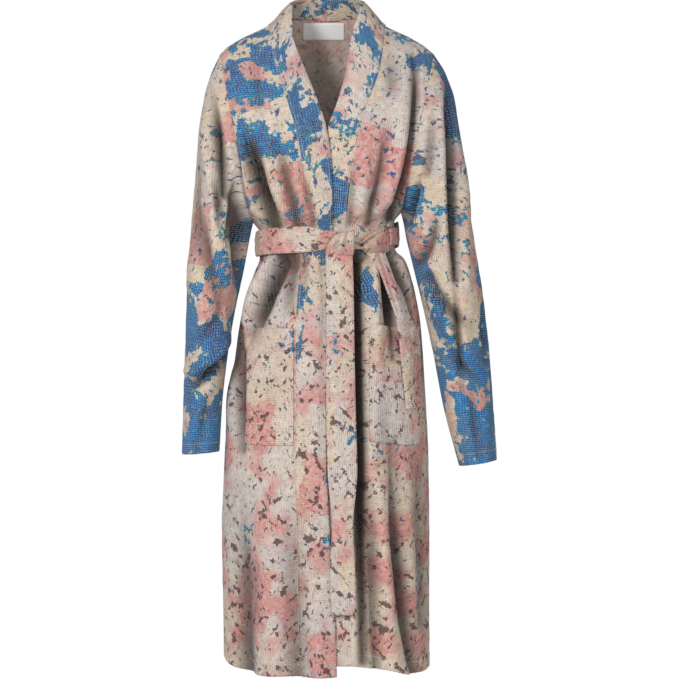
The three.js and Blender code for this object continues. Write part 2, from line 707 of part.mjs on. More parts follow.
// A strip of belt that hangs in front of the body
function makeTail(name, stations, colour, steps) {
  const at = reader(stations, 'drop');
  const rows = spread(stations[0].drop, stations.at(-1).drop, steps).map((drop) => {
    const row = at(drop);
    return [-1, 0, 1].map((edge) => {
      const x = row.x + edge * row.halfWidth;
      return new THREE.Vector3(x, -frontDepth(x, drop) - row.proud, -drop);
    });
  });
  const inner = rows.map((row) => row.map((point) => point.clone().add(new THREE.Vector3(0, BELT_CLOTH, 0))));
  return closedWall(name, { outer: rows, inner }, colour);
}

// The belt's turn round the waist, from behind the knot round the back to the wearer's left side
function makeBeltWrap(colour) {
  const size = girth(BELT_TOP);
  const startTurn = Math.asin(BELT_START / size.left);
  const endTurn = Math.asin(TWIST.at(-1).x / size.left) + WRAP_GAP - 2 * HALF_TURN;
  const drops = [BELT_TOP, mix(BELT_TOP, BELT_BOTTOM, 0.5), BELT_BOTTOM];
  const grow = (lift) => (angle, drop) => {
    const front = Math.cos(angle) > 0;
    const across = Math.asin(Math.sin(angle)) / QUARTER_TURN;
    const down = downAtDrop(drop);
    const part = front ? 'over' : 'back';
    const point = bodyBase(part, across, down);
    const depth = front ? size.front : size.back;
    const outward = new THREE.Vector3(Math.sin(angle) / size.left, -Math.cos(angle) / depth, 0);
    return point.addScaledVector(outward.normalize(), lift);
  };
  const turns = spread(startTurn, endTurn, BELT_STEPS);
  const layer = (lift) => drops.map((drop) => turns.map((turn) => grow(lift)(turn, drop)));
  const layers = { outer: layer(BELT_CLEARANCE + BELT_CLOTH), inner: layer(BELT_CLEARANCE) };
  return closedWall('belt_wrap', layers, colour);
}

// The turned stretch between the wearer's left side and the knot: narrow and thick beside the knot
function makeBeltTwist(colour) {
  const at = reader(TWIST, 'x');
  const xs = spread(TWIST[0].x, TWIST.at(-1).x, TWIST_STEPS);
  const edges = [-1, -0.5, 0, 0.5, 1];
  const place = (x, edge, share) => {
    const { drop, half, bulge } = at(x);
    const thickness = BELT_CLOTH + bulge * (1 - TWIST_EDGE * edge * edge);
    const forward = frontDepth(x, BELT_TOP) + TWIST_CLEARANCE + share * thickness;
    return new THREE.Vector3(x, -forward, -drop - edge * half);
  };
  const layer = (share) => xs.map((x) => edges.map((edge) => place(x, edge, share)));
  return closedWall('belt_twist', { outer: layer(1), inner: layer(0) }, colour);
}

// The knot: a folded pad of belt, round at its edges
function makeKnot(colour) {
  const ball = new THREE.SphereGeometry(1, KNOT_SIDES, KNOT_RINGS);
  const place = ball.getAttribute('position');
  const square = (value) => Math.sign(value) * Math.abs(value) ** KNOT_SQUARENESS;
  const points = [];
  for (let i = 0; i < place.count; i += 1) {
    points.push(new THREE.Vector3(
      KNOT.x + KNOT.halfWidth * square(place.getX(i)),
      -KNOT.back - KNOT.thickness / 2 - (KNOT.thickness / 2) * square(place.getZ(i)),
      -KNOT.drop + KNOT.halfHeight * square(place.getY(i)),
    ));
  }
  return { points, index: Array.from(ball.getIndex().array), colour };
}

// Merges points that share a place, and drops the faces that this flattens
function mergedMesh(name, { points, index, colour }) {
  const seen = new Map();
  const positions = [];
  const where = points.map((point) => {
    const key = point.toArray().map((value) => value.toFixed(3)).join(' ');
    if (!seen.has(key)) {
      seen.set(key, positions.length / 3);
      positions.push(...point.toArray());
    }
    return seen.get(key);
  });
  const faces = [];
  for (let i = 0; i < index.length; i += 3) {
    const [a, b, c] = index.slice(i, i + 3).map((corner) => where[corner]);
    if (a !== b && b !== c && c !== a) faces.push(a, b, c);
  }
  return closedMesh(name, positions, faces, colour);
}

// The bare label inside the back, just below the band
function makeLabel(colour) {
  const surface = surfaces.back;
  const rows = spread(LABEL.top, LABEL.bottom, 3).map((drop) =>
    spread(LABEL.left, LABEL.right, 6).map((x) => {
      const across = x / (SHOULDER_OUT + 3);
      let low = 0.1;
      let high = 0.9;
      for (let i = 0; i < 40; i += 1) {
        const middle = (low + high) / 2;
        if (-bodyBase('back', across, middle).z < drop) low = middle;
        else high = middle;
      }
      return [across, low];
    }),
  );
  const place = (a, b, distance) => surface.point(a, b).addScaledVector(surface.outward(a, b), -distance);
  const layer = (distance) => rows.map((row) => row.map(([a, b]) => place(a, b, distance)));
  const near = CLOTH + LABEL.clearance;
  return closedWall('label', { outer: layer(near), inner: layer(near + LABEL_CLOTH) }, colour);
}

const CREAM = 0xd9c8b6;
const BLUE = 0x2f5f9c;
const ROSE = 0xd9a69b;
const WHITE = 0xf1efea;

const robe = new THREE.Group();
robe.add(
  makeBack(CREAM),
  makeFront('front_right', 'over', -1, CREAM),
  makeFront('front_left', 'under', 1, CREAM),
  makeBand('band_right', 'over', -1, BLUE),
  makeBand('band_left', 'under', 1, BLUE),
  makeSleeve('sleeve_right', SLEEVES.right, ROSE),
  makeSleeve('sleeve_left', SLEEVES.left, ROSE),
  makePocket('pocket_right', 'over', -1, ROSE),
  makePocket('pocket_left', 'under', 1, ROSE),
  makeLabel(WHITE),
  makeBeltWrap(ROSE),
  makeBeltTwist(ROSE),
  mergedMesh('belt_knot', makeKnot(ROSE)),
  makeTail('belt_tail_long', LONG_TAIL, ROSE, LONG_TAIL_STEPS),
  makeTail('belt_tail_short', SHORT_TAIL, ROSE, SHORT_TAIL_STEPS),
);

export default robe;
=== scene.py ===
import logging
import math
from dataclasses import dataclass, field
from enum import Enum
from typing import Callable, Iterable, Optional, Sequence, Union

import bpy
import numpy as np
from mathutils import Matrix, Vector

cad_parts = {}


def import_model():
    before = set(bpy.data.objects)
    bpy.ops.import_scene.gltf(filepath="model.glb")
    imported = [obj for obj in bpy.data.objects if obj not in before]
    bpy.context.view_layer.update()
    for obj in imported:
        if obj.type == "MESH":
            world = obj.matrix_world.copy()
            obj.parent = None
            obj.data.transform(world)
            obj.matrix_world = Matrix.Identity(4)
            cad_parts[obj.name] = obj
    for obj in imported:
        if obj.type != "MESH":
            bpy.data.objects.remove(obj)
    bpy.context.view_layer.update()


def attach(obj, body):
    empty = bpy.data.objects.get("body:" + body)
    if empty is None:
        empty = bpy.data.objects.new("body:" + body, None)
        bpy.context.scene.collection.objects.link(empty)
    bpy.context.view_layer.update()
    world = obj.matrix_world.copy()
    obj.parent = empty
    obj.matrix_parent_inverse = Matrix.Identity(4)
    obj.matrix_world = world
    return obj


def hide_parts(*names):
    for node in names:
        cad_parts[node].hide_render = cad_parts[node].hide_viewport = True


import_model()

# The robe is dressed from the same sizes as its solids: millimetres, +Z up, the front faces -Y, and the
# wearer's right is -X. "drop" is a distance below the base of the neck, where the origin is.

log = logging.getLogger("robe")
Array = np.ndarray
Object = bpy.types.Object
Material = bpy.types.Material
Index = Union[int, slice, Array]
Line = tuple[Array, Array]
Lines = list[Line]
Sewn = tuple[Object, Lines]

MM = 0.001
HALF_TURN = math.pi
QUARTER_TURN = math.pi / 2
TINY = 1e-12
NEAR = 1e-6
HALVINGS = 36
GRID_STEP = 4.0  # from row to row of the body
TOP_SHARE = 0.001  # the body's first row, just below the shoulder seam
STITCH_LIFT = 0.25  # how far stitches stand off the cloth
# The shade painted into the cloth's colour inside the folds grows with their depth like this.
HOLLOW_DEPTH = 11.0  # a fold this deep gets about two thirds of the shade painted into the folds
HOLLOW_POWER = 1.4


class Part(Enum):
    """The three panels that make the body: the front on top, the front underneath and the back."""

    OVER = "over"
    UNDER = "under"
    BACK = "back"

    @property
    def face(self) -> int:
        """-1 for a front, 1 for the back."""
        return 1 if self is Part.BACK else -1

    @property
    def side(self) -> int:
        """-1 for the wearer's right front, 1 for the left."""
        return -1 if self is Part.OVER else 1

    @property
    def worn(self) -> str:
        """The wearer's side on which a front lies."""
        return "right" if self is Part.OVER else "left"


class Side(Enum):
    """The wearer's sides, as signs along X."""

    RIGHT = -1
    LEFT = 1

    @property
    def worn(self) -> str:
        """The side's name."""
        return self.name.lower()


def mix(start: Array, end: Array, share: Array) -> Array:
    """Goes from start to end as share goes from 0 to 1."""
    return start + (end - start) * share


def ease(value: Array) -> Array:
    """A soft step from 0 to 1, flat at both ends."""
    t = np.clip(value, 0.0, 1.0)
    return t * t * (3 - 2 * t)


def fade(value: Array, span: tuple[float, float]) -> Array:
    """A soft step from 0 to 1, with its start and its run as the span."""
    return ease((value - span[0]) / span[1])


def unit(vectors: Array) -> Array:
    """Scales vectors to a length of one."""
    return vectors / np.maximum(np.linalg.norm(vectors, axis=-1, keepdims=True), TINY)


def narrow(before: Callable[[Array], Array], low: float, high: float, shape: tuple[int, ...]) -> Array:
    """Finds values by halving the span that holds them.

    Args:
        before: Says of each value whether the one sought is larger.
        low: The least value.
        high: The largest value.
        shape: The shape of the answer.

    Returns:
        The values found.
    """
    start, end = np.full(shape, low), np.full(shape, high)
    for _ in range(HALVINGS):
        middle = (start + end) / 2
        short = before(middle)
        start, end = np.where(short, middle, start), np.where(short, end, middle)
    return (start + end) / 2


class Table:
    """A short table of sizes, read between its rows as curves that never overshoot them."""

    def __init__(self, columns: Sequence[str], rows: Sequence[Sequence[float]]) -> None:
        """Keeps the rows and works out each column's slopes.

        Args:
            columns: The columns' names. The first is the key, which rises from row to row.
            rows: One row of values for each place.
        """
        values = np.array(rows, dtype=float)
        self.keys = values[:, 0]
        self.columns = {name: values[:, i] for i, name in enumerate(columns) if i}
        self.slopes = {name: self._slopes(column) for name, column in self.columns.items()}

    def _slopes(self, column: Array) -> Array:
        """The slope of one column at each row.

        Args:
            column: The column's values.

        Returns:
            A slope for each row, zero where the column turns round.
        """
        secants = np.diff(column) / np.diff(self.keys)
        slopes = np.concatenate([secants[:1], np.zeros(len(secants) - 1), secants[-1:]])
        before, after = secants[:-1], secants[1:]
        same = before * after > 0
        slopes[1:-1][same] = 2 * before[same] * after[same] / (before[same] + after[same])
        return slopes

    def at(self, name: str, key: Array) -> Array:
        """Reads a column.

        Args:
            name: The column's name.
            key: Where to read it.

        Returns:
            The column's value at each key.
        """
        column, slopes = self.columns[name], self.slopes[name]
        key = np.clip(key, self.keys[0], self.keys[-1])
        i = np.clip(np.searchsorted(self.keys, key, side="right") - 1, 0, len(self.keys) - 2)
        span = self.keys[i + 1] - self.keys[i]
        t = (key - self.keys[i]) / span
        blend = mix(column[i], column[i + 1], t * t * (3 - 2 * t))
        return blend + slopes[i] * span * t * (1 - t) ** 2 - slopes[i + 1] * span * t * t * (1 - t)


@dataclass(frozen=True)
class Fold:
    """A fold or crease: a soft line through three points, seen from the front or the back."""

    x0: float
    drop0: float
    x1: float
    drop1: float
    x2: float
    drop2: float
    width: float
    depth0: float
    depth1: float
    depth2: float
    steep: float = 1.0  # the width on the wearer's left of a line that runs down, as a share of "width"

    STOPS = 13  # points along the line

    def height(self, x: Array, drop: Array) -> Array:
        """How far the fold moves the cloth out, or in where it is below zero.

        Args:
            x: Places across.
            drop: Places down.

        Returns:
            The height of the fold at each place.
        """
        t = np.linspace(0.0, 1.0, self.STOPS)
        bend_x = 2 * self.x1 - (self.x0 + self.x2) / 2
        bend_drop = 2 * self.drop1 - (self.drop0 + self.drop2) / 2
        line_x = (1 - t) ** 2 * self.x0 + 2 * t * (1 - t) * bend_x + t * t * self.x2
        line_drop = (1 - t) ** 2 * self.drop0 + 2 * t * (1 - t) * bend_drop + t * t * self.drop2
        first = mix(self.depth0, self.depth1, ease(2 * t))
        depths = np.where(t < 0.5, first, mix(self.depth1, self.depth2, ease(2 * t - 1)))
        nearest = np.full(x.shape, np.inf)
        depth = np.zeros(x.shape)
        turned = np.zeros(x.shape)
        for i in range(len(t) - 1):
            run_x, run_drop = line_x[i + 1] - line_x[i], line_drop[i + 1] - line_drop[i]
            off_x, off_drop = x - line_x[i], drop - line_drop[i]
            share = np.clip((off_x * run_x + off_drop * run_drop) / (run_x**2 + run_drop**2), 0, 1)
            distance = np.hypot(off_x - run_x * share, off_drop - run_drop * share)
            closer = distance < nearest
            nearest = np.where(closer, distance, nearest)
            depth = np.where(closer, mix(depths[i], depths[i + 1], share), depth)
            turned = np.where(closer, off_x * run_drop - off_drop * run_x, turned)
        width = np.where(turned > 0, self.width * self.steep, self.width)
        return depth * np.exp(-((nearest / width) ** 2))


def fold_height(folds: Iterable[Fold], x: Array, drop: Array) -> Array:
    """The sum of several folds at each place."""
    return sum((fold.height(x, drop) for fold in folds), np.zeros(x.shape))


def hollow(folds: Iterable[Fold], x: Array, drop: Array) -> Array:
    """How deep inside a fold each place lies, from 0 to 1: the share of shade painted into the cloth's colour
    there.
    """
    depth = sum((np.maximum(-fold.height(x, drop), 0) for fold in folds), np.zeros(x.shape))
    return 1 - np.exp(-((depth / HOLLOW_DEPTH) ** HOLLOW_POWER))


class Ripple:
    """Small unevenness of quilted cloth: smooth random heights, the same on every run."""

    SIZE = 128
    START = (61.0, 37.0)  # where on the lattice the flat cloth's corner lies

    def __init__(self, seed: int, across: float, down: float, height: float) -> None:
        """Draws the heights.

        Args:
            seed: Fixes the draw.
            across: Size of one swell across, in millimetres.
            down: Size of one swell down.
            height: Largest height.
        """
        self.lattice = np.random.default_rng(seed).uniform(-1, 1, (self.SIZE, self.SIZE))
        self.across, self.down, self.scale = across, down, height

    def at(self, x: Array, y: Array) -> Array:
        """Reads the heights.

        Args:
            x: Places across the flat cloth.
            y: Places down it.

        Returns:
            The height at each place.
        """
        column, row = x / self.across + self.START[0], y / self.down + self.START[1]
        i, j = np.floor(column).astype(int), np.floor(row).astype(int)
        right, below = ease(column - i), ease(row - j)
        n = self.SIZE
        top = mix(self.lattice[j % n, i % n], self.lattice[j % n, (i + 1) % n], right)
        bottom = mix(self.lattice[(j + 1) % n, i % n], self.lattice[(j + 1) % n, (i + 1) % n], right)
        return self.scale * mix(top, bottom, below)


def grid_normals(points: Array, turned: int, ring: bool = False) -> Array:
    """Directions square to a grid of points.

    Args:
        points: Rows of points.
        turned: 1 or -1, which sets the side that is outside.
        ring: Whether each row closes on itself.

    Returns:
        A unit vector for each point.
    """
    down = np.gradient(points, axis=0)
    if ring:
        across = np.roll(points, -1, axis=1) - np.roll(points, 1, axis=1)
    else:
        across = np.gradient(points, axis=1)
    return unit(np.cross(across, down)) * turned


def flat_places(
    points: Array, start: tuple[float, float] = (0.0, 0.0), centre: float = 0.5, upright: bool = False
) -> Array:
    """Flat places of a grid of points on the cut cloth.

    Args:
        points: Rows of points.
        start: The flat place of the top of the centre column, which sets what part of the print falls there.
        centre: Which column the rows are measured from, as a share of the way across.
        upright: Whether the cloth hangs with its grain upright, so that slanted rows count as level.

    Returns:
        For each point, its distance across and down the cloth.
    """
    across_steps, down_steps = np.diff(points, axis=1), np.diff(points, axis=0)
    if upright:
        across_steps = across_steps[..., :2]
    across = np.cumsum(np.linalg.norm(across_steps, axis=-1), axis=1)
    across = np.concatenate([np.zeros((len(points), 1)), across], axis=1)
    middle = int(centre * (points.shape[1] - 1))
    down = np.cumsum(np.linalg.norm(down_steps, axis=-1), axis=0)
    down = np.concatenate([np.zeros((1, points.shape[1])), down], axis=0)
    if upright:
        down = down - points[:1, :, 2]
    else:
        down = np.broadcast_to(down.mean(axis=1, keepdims=True), across.shape)
    return np.stack([across - across[:, middle:middle + 1] + start[0], down + start[1]], axis=-1)


@dataclass
class Wall:
    """A cloth panel as a closed wall: its outer points, its thickness and its places on the flat cloth."""

    points: Array
    normals: Array
    thickness: Union[float, Array]
    flat: Array
    ring: bool = False
    rim: float = 0.42  # how far the edge rounds out, as a share of the thickness
    hollow: Optional[Array] = None  # how deep inside a fold each point lies, which sets the shade painted into its colour

    def build(self, name: str, outside: Material, inside: Material) -> Object:
        """Makes the wall's object, with a rounded edge all round.

        Args:
            name: The object's name.
            outside: Finish of the outer face and the edges.
            inside: Finish of the inner face.

        Returns:
            The object, at the origin.
        """
        rows, columns = self.points.shape[:2]
        thickness = np.broadcast_to(self.thickness, self.points.shape[:2])
        outer = self.points.reshape(-1, 3)
        inner = outer - (self.normals * thickness[..., None]).reshape(-1, 3)
        grid = np.arange(rows * columns).reshape(rows, columns)
        if self.ring:
            grid = np.concatenate([grid, grid[:, :1]], axis=1)
        flat = np.arange(grid.size).reshape(grid.shape)
        high, wide = rows - 1, grid.shape[1] - 1
        square = [(slice(a, high + a), slice(b, wide + b)) for a, b in ((0, 0), (0, 1), (1, 1), (1, 0))]
        front = np.stack([grid[corner] for corner in square], axis=-1).reshape(-1, 4)
        front_flat = np.stack([flat[corner] for corner in square], axis=-1).reshape(-1, 4)
        layer = rows * columns
        points = [outer, inner]
        faces = [front, front[:, ::-1] + layer]
        places = [front_flat, front_flat[:, ::-1]]
        insides = [np.zeros(len(front)), np.ones(len(front))]
        base = 2 * layer
        for edge, edge_flat, beyond in self._loops(grid, flat):
            around, steps = edge[:-1], len(edge) - 1
            away = unit(outer[around] - outer[beyond[:-1]])
            reach = thickness.reshape(-1)[around][:, None] * self.rim
            points.append((outer[around] + inner[around]) / 2 + away * reach)
            start, end = edge_flat[:-1], edge_flat[1:]
            middle = base + np.append(np.arange(steps), 0)
            base += steps
            for first, second in ((edge, middle), (middle, edge + layer)):
                faces.append(np.stack([first[:-1], second[:-1], second[1:], first[1:]], axis=-1))
                places.append(np.stack([start, start, end, end], axis=-1))
                insides.append(np.zeros(steps))
        made = mesh_object(
            name, np.concatenate(points) * MM, np.concatenate(faces),
            self.flat.reshape(-1, 2)[np.concatenate(places)], np.concatenate(insides), (outside, inside),
        )
        # The depth inside the folds goes to the mesh for the shade painted into the cloth's colour; the inner
        # face and the edges get none.
        depth = np.zeros(len(made.data.vertices), dtype=np.float32)
        if self.hollow is not None:
            depth[:layer] = self.hollow.ravel()
        made.data.attributes.new("hollow", "FLOAT", "POINT").data.foreach_set("value", depth)
        return made

    def line(self, rows: Index, columns: Index) -> Line:
        """A line of points just off the outer face, for stitches.

        Args:
            rows: The rows that it passes.
            columns: The columns that it passes.

        Returns:
            Its points and the directions square to the cloth there.
        """
        outward = self.normals[rows, columns]
        return self.points[rows, columns] + outward * STITCH_LIFT, outward

    def _loops(self, grid: Array, flat: Array) -> list[tuple[Array, Array, Array]]:
        """The wall's open edges as closed loops.

        Args:
            grid: The number of each point, with a ring's first column repeated at its end.
            flat: The number of each flat place.

        Returns:
            For each loop, its points, its flat places, and for each point one further inside.
        """
        if self.ring:
            return [(grid[0], flat[0], grid[1]), (grid[-1][::-1], flat[-1][::-1], grid[-2][::-1])]
        rows, columns = grid.shape
        across, down = np.arange(columns), np.arange(rows)
        row = np.concatenate([0 * across, down[1:], 0 * across[1:] + rows - 1, down[-2::-1]])
        column = np.concatenate([across, 0 * down[1:] + columns - 1, across[-2::-1], 0 * down[1:]])
        inner_row, inner_column = np.clip(row, 1, rows - 2), np.clip(column, 1, columns - 2)
        return [(grid[row, column], flat[row, column], grid[inner_row, inner_column])]


def mesh_object(
    name: str, vertices: Array, faces: Array, places: Optional[Array], finish: Array,
    materials: Sequence[Material],
) -> Object:
    """Makes a smooth mesh object from arrays, with its faces pointing out.

    Args:
        name: The object's name.
        vertices: Corner points in metres.
        faces: Four corners a face.
        places: A flat place for each corner of each face, in millimetres, or None.
        finish: The material number of each face.
        materials: The materials.

    Returns:
        The object, linked to the scene.
    """
    corners = vertices[faces]
    volume = 0.0
    for a, b, c in ((0, 1, 2), (0, 2, 3)):
        volume += np.einsum("ij,ij->i", corners[:, a], np.cross(corners[:, b], corners[:, c])).sum()
    if volume < 0:
        faces = faces[:, ::-1]
        places = places[:, ::-1] if places is not None else None
    mesh = bpy.data.meshes.new(name)
    mesh.from_pydata(vertices.tolist(), [], faces.tolist())
    if places is not None:
        layer = mesh.uv_layers.new(name="cloth")
        layer.data.foreach_set("uv", np.ascontiguousarray(places * MM, dtype=np.float32).ravel())
    mesh.polygons.foreach_set("use_smooth", np.ones(len(faces), dtype=bool))
    for material in materials:
        mesh.materials.append(material)
    mesh.polygons.foreach_set("material_index", np.ascontiguousarray(finish, dtype=np.int32))
    mesh.update()
    made = bpy.data.objects.new(name, mesh)
    bpy.context.scene.collection.objects.link(made)
    return made


@dataclass(frozen=True)
class RobeSizes:
    """The robe's driving sizes, with turns and softnesses as shares."""

    shoulder_out: float = 192
    neck_out: float = 104
    collar_out: float = 64
    armpit_out: float = 133
    armpit_drop: float = 338
    armhole_depth: float = 78
    tilt: float = 9
    tilt_end: float = 640
    hem_drop: float = 1146
    belt_top: float = 356
    belt_bottom: float = 400
    belt_clearance: float = 1.0
    tuck: float = 7.5
    neck_seam_turn: float = 0.33
    neck_edge_turn: float = 0.183
    neck_curve: float = 1.87
    centre_softness: float = 0.15
    back_fullness: float = 0.8
    cloth: float = 2.4
    band_cloth: float = 3.4
    belt_cloth: float = 3.2


SIZES = RobeSizes()

SHOULDER_LINE = Table(("out", "drop"), (
    (0, -74), (26, -71.5), (64, -48), (104, -7), (150, 15), (176, 29), (192, 44),
))
GIRTH = Table(("drop", "right", "left", "front", "flank", "back"), (
    (338, 133, 133, 104, 78, 94),
    (356, 121, 121, 92, 90, 84),
    (400, 121, 122, 92, 90, 84),
    (430, 131, 141, 102, 102, 95),
    (470, 146, 156, 113, 112, 107),
    (540, 159, 169, 123, 120, 118),
    (640, 171, 176, 131, 127, 127),
    (760, 184, 182, 135, 131, 132),
    (900, 188, 184, 137, 133, 135),
    (1146, 185, 184, 138, 134, 137),
))
HEM = {
    Part.OVER: Table(("across", "drop"), ((-1, 1118), (-0.72, 1138), (-0.4, 1146), (0.2, 1146))),
    Part.UNDER: Table(("across", "drop"), ((-0.2, 1127), (0.1, 1127), (0.37, 1136), (0.6, 1148), (1, 1139))),
    Part.BACK: Table(("across", "drop"), ((-1, 1118), (0, 1138), (1, 1139))),
}
SEAM_RAIL = {
    Part.OVER: Table(("drop", "x"), (
        (-7, -104), (50, -95), (115, -76), (157, -63), (193, -52), (252, -42), (300, -31), (348, -19),
        (400, -46), (540, -54), (745, -54), (1146, -49),
    )),
    Part.UNDER: Table(("drop", "x"), (
        (-7, 104), (29, 101), (81, 93), (126, 77), (171, 63), (223, 50), (360, 37), (1146, 42),
    )),
}
EDGE_RAIL = {
    Part.OVER: Table(("drop", "x"), (
        (-48, -64), (11, -62), (74, -41), (126, -20), (191, 0), (268, 8), (371, 9), (414, -3), (666, -3),
        (859, 3), (956, 10), (1146, 17),
    )),
    Part.UNDER: Table(("drop", "x"), (
        (-48, 64), (-18, 56), (11, 46), (90, 33), (139, 18), (178, 3), (230, -6), (400, -14), (1146, -14),
    )),
}
FOLDS = {
    Part.OVER: (
        # above the belt: the large slanted lap, its panel and the pinches over the belt
        Fold(-142, 186, -127, 262, -93, 354, 8, -4, -34, -34, 1.7),
        Fold(-168, 150, -148, 250, -115, 350, 14, 4, 15, 12, 0.7),
        Fold(-178, 96, -172, 190, -162, 262, 10, 0, -16, -12),
        Fold(-112, 210, -98, 285, -74, 352, 10, 0, 10, 9),
        Fold(-90, 180, -74, 275, -54, 354, 7, 0, -14, -17, 1.6),
        Fold(-64, 190, -52, 270, -36, 350, 10, 1, 7, 8),
        Fold(-40, 250, -32, 305, -24, 354, 6, 0, -8, -11),
        Fold(-132, 40, -122, 110, -108, 190, 14, 0, -7, 0, 0.6),
        Fold(-120, 292, -112, 320, -104, 352, 6, 0, -8, -9, 0.6),
        # below the belt
        Fold(-80, 406, -114, 484, -134, 548, 8, -26, -32, -8, 2.0),
        Fold(-96, 406, -132, 480, -150, 566, 8, 8, 13, 5),
        Fold(-114, 406, -144, 474, -158, 560, 5, -16, -22, -12, 0.7),
        Fold(-58, 405, -68, 470, -74, 536, 9, -14, -11, 0, 1.5),
        Fold(-36, 405, -40, 450, -42, 520, 7, -9, -7, 0),
        Fold(-9.5, 409, -8, 560, -9, 756, 3, -6, -5, -3),
        Fold(-155, 540, -153, 640, -154, 752, 8, -16, -34, -12),
        Fold(-172, 560, -172, 660, -170, 800, 10, 3, 9, 2),
        Fold(-74, 404, -80, 440, -92, 480, 5, -6, -4, 0),
        Fold(-110, 780, -102, 950, -98, 1150, 30, 0, 9, 12),
        Fold(-152, 800, -148, 1000, -144, 1150, 17, 0, -14, -18),
        Fold(-60, 800, -58, 960, -54, 1150, 20, 0, -8, -12),
        Fold(-70, 560, -92, 640, -86, 720, 16, 0, -3, 0),
        Fold(-120, 900, -124, 1000, -118, 1090, 9, 0, -4, 0),
        Fold(-20, 820, -16, 960, -12, 1150, 14, 0, 6, 8),
    ),
    Part.UNDER: (
        # above the belt: the crease along the armhole and the pinches over the belt
        Fold(158, 52, 154, 203, 112, 340, 9, -10, -34, -36, 0.6),
        Fold(134, 90, 130, 225, 94, 345, 13, 2, 13, 13, 1.5),
        Fold(106, 150, 98, 255, 72, 352, 8, 0, -13, -18, 0.7),
        Fold(72, 170, 70, 260, 54, 352, 10, 0, 7, 9),
        Fold(48, 230, 46, 290, 40, 354, 6, 0, -7, -12),
        Fold(112, 30, 118, 90, 112, 160, 13, 0, -8, 0),
        # below the belt: the dark valley beside the tail, then ridges and hollows to the side
        Fold(52, 405, 55, 640, 68, 1120, 10, -40, -60, -16),
        Fold(80, 412, 84, 480, 90, 640, 10, 8, 13, 4),
        Fold(106, 405, 112, 470, 120, 590, 10, -30, -40, -10),
        Fold(132, 412, 142, 500, 148, 640, 11, 4, 8, 3),
        Fold(92, 800, 103, 976, 120, 1150, 14, 3, 13, 11),
        Fold(118, 740, 124, 960, 152, 1150, 8, -6, -24, -16, 1.8),
        Fold(76, 780, 82, 960, 90, 1150, 8, 0, -14, -12),
        Fold(148, 860, 150, 1010, 152, 1150, 24, 0, 8, 10),
        Fold(112, 404, 140, 470, 166, 590, 6, -22, -22, -6),
        Fold(70, 404, 74, 430, 76, 470, 5, -5, -4, 0),
        Fold(96, 620, 104, 720, 100, 820, 14, 0, -5, 0),
        Fold(166, 700, 168, 880, 170, 1060, 12, 0, -10, -10),
    ),
    Part.BACK: (
        Fold(-150, 90, -128, 220, -96, 345, 18, -3, -10, -9),
        Fold(150, 80, 130, 210, 92, 340, 18, -3, -10, -9),
        Fold(-42, 190, -38, 280, -34, 350, 15, 0, -6, -8),
        Fold(44, 210, 40, 290, 34, 350, 15, 0, -6, -8),
        Fold(-92, 405, -108, 480, -118, 640, 12, -9, -10, 0),
        Fold(-50, 405, -60, 540, -72, 860, 14, -10, -11, -3),
        Fold(-8, 405, -6, 500, -4, 760, 12, -10, -9, 0),
        Fold(38, 405, 50, 560, 64, 900, 15, -10, -12, -4),
        Fold(86, 405, 104, 480, 116, 620, 11, -9, -9, 0),
        Fold(-130, 700, -126, 900, -122, 1150, 26, 0, -9, -13),
        Fold(-30, 760, -30, 950, -30, 1150, 34, 0, 7, 9),
        Fold(116, 720, 112, 900, 110, 1150, 28, 0, -9, -12),
        Fold(-74, 270, -70, 310, -64, 350, 7, 0, -4, -5, 0.6),
        Fold(2, 250, 0, 300, -2, 350, 8, 0, -4, -5),
        Fold(72, 280, 68, 318, 62, 350, 7, 0, -4, -4, 0.6),
        Fold(-112, 280, -106, 312, -100, 348, 7, 0, -4, -3),
        Fold(-70, 404, -76, 440, -80, 500, 6, -5, -4, 0),
        Fold(-28, 404, -32, 450, -36, 520, 6, -4, -5, 0),
        Fold(16, 404, 20, 450, 22, 530, 6, -5, -4, 0),
        Fold(64, 404, 72, 446, 80, 500, 6, -5, -4, 0),
        Fold(-100, 150, -60, 190, -20, 200, 14, 0, -3, 0),
        Fold(100, 130, 64, 176, 24, 190, 14, 0, -3, 0),
        Fold(20, 900, 26, 1010, 30, 1150, 16, 0, -4, -6),
        Fold(-84, 930, -80, 1040, -78, 1150, 14, 0, -4, -5),
        Fold(150, 860, 150, 1000, 148, 1150, 14, 0, -4, -5),
    ),
}


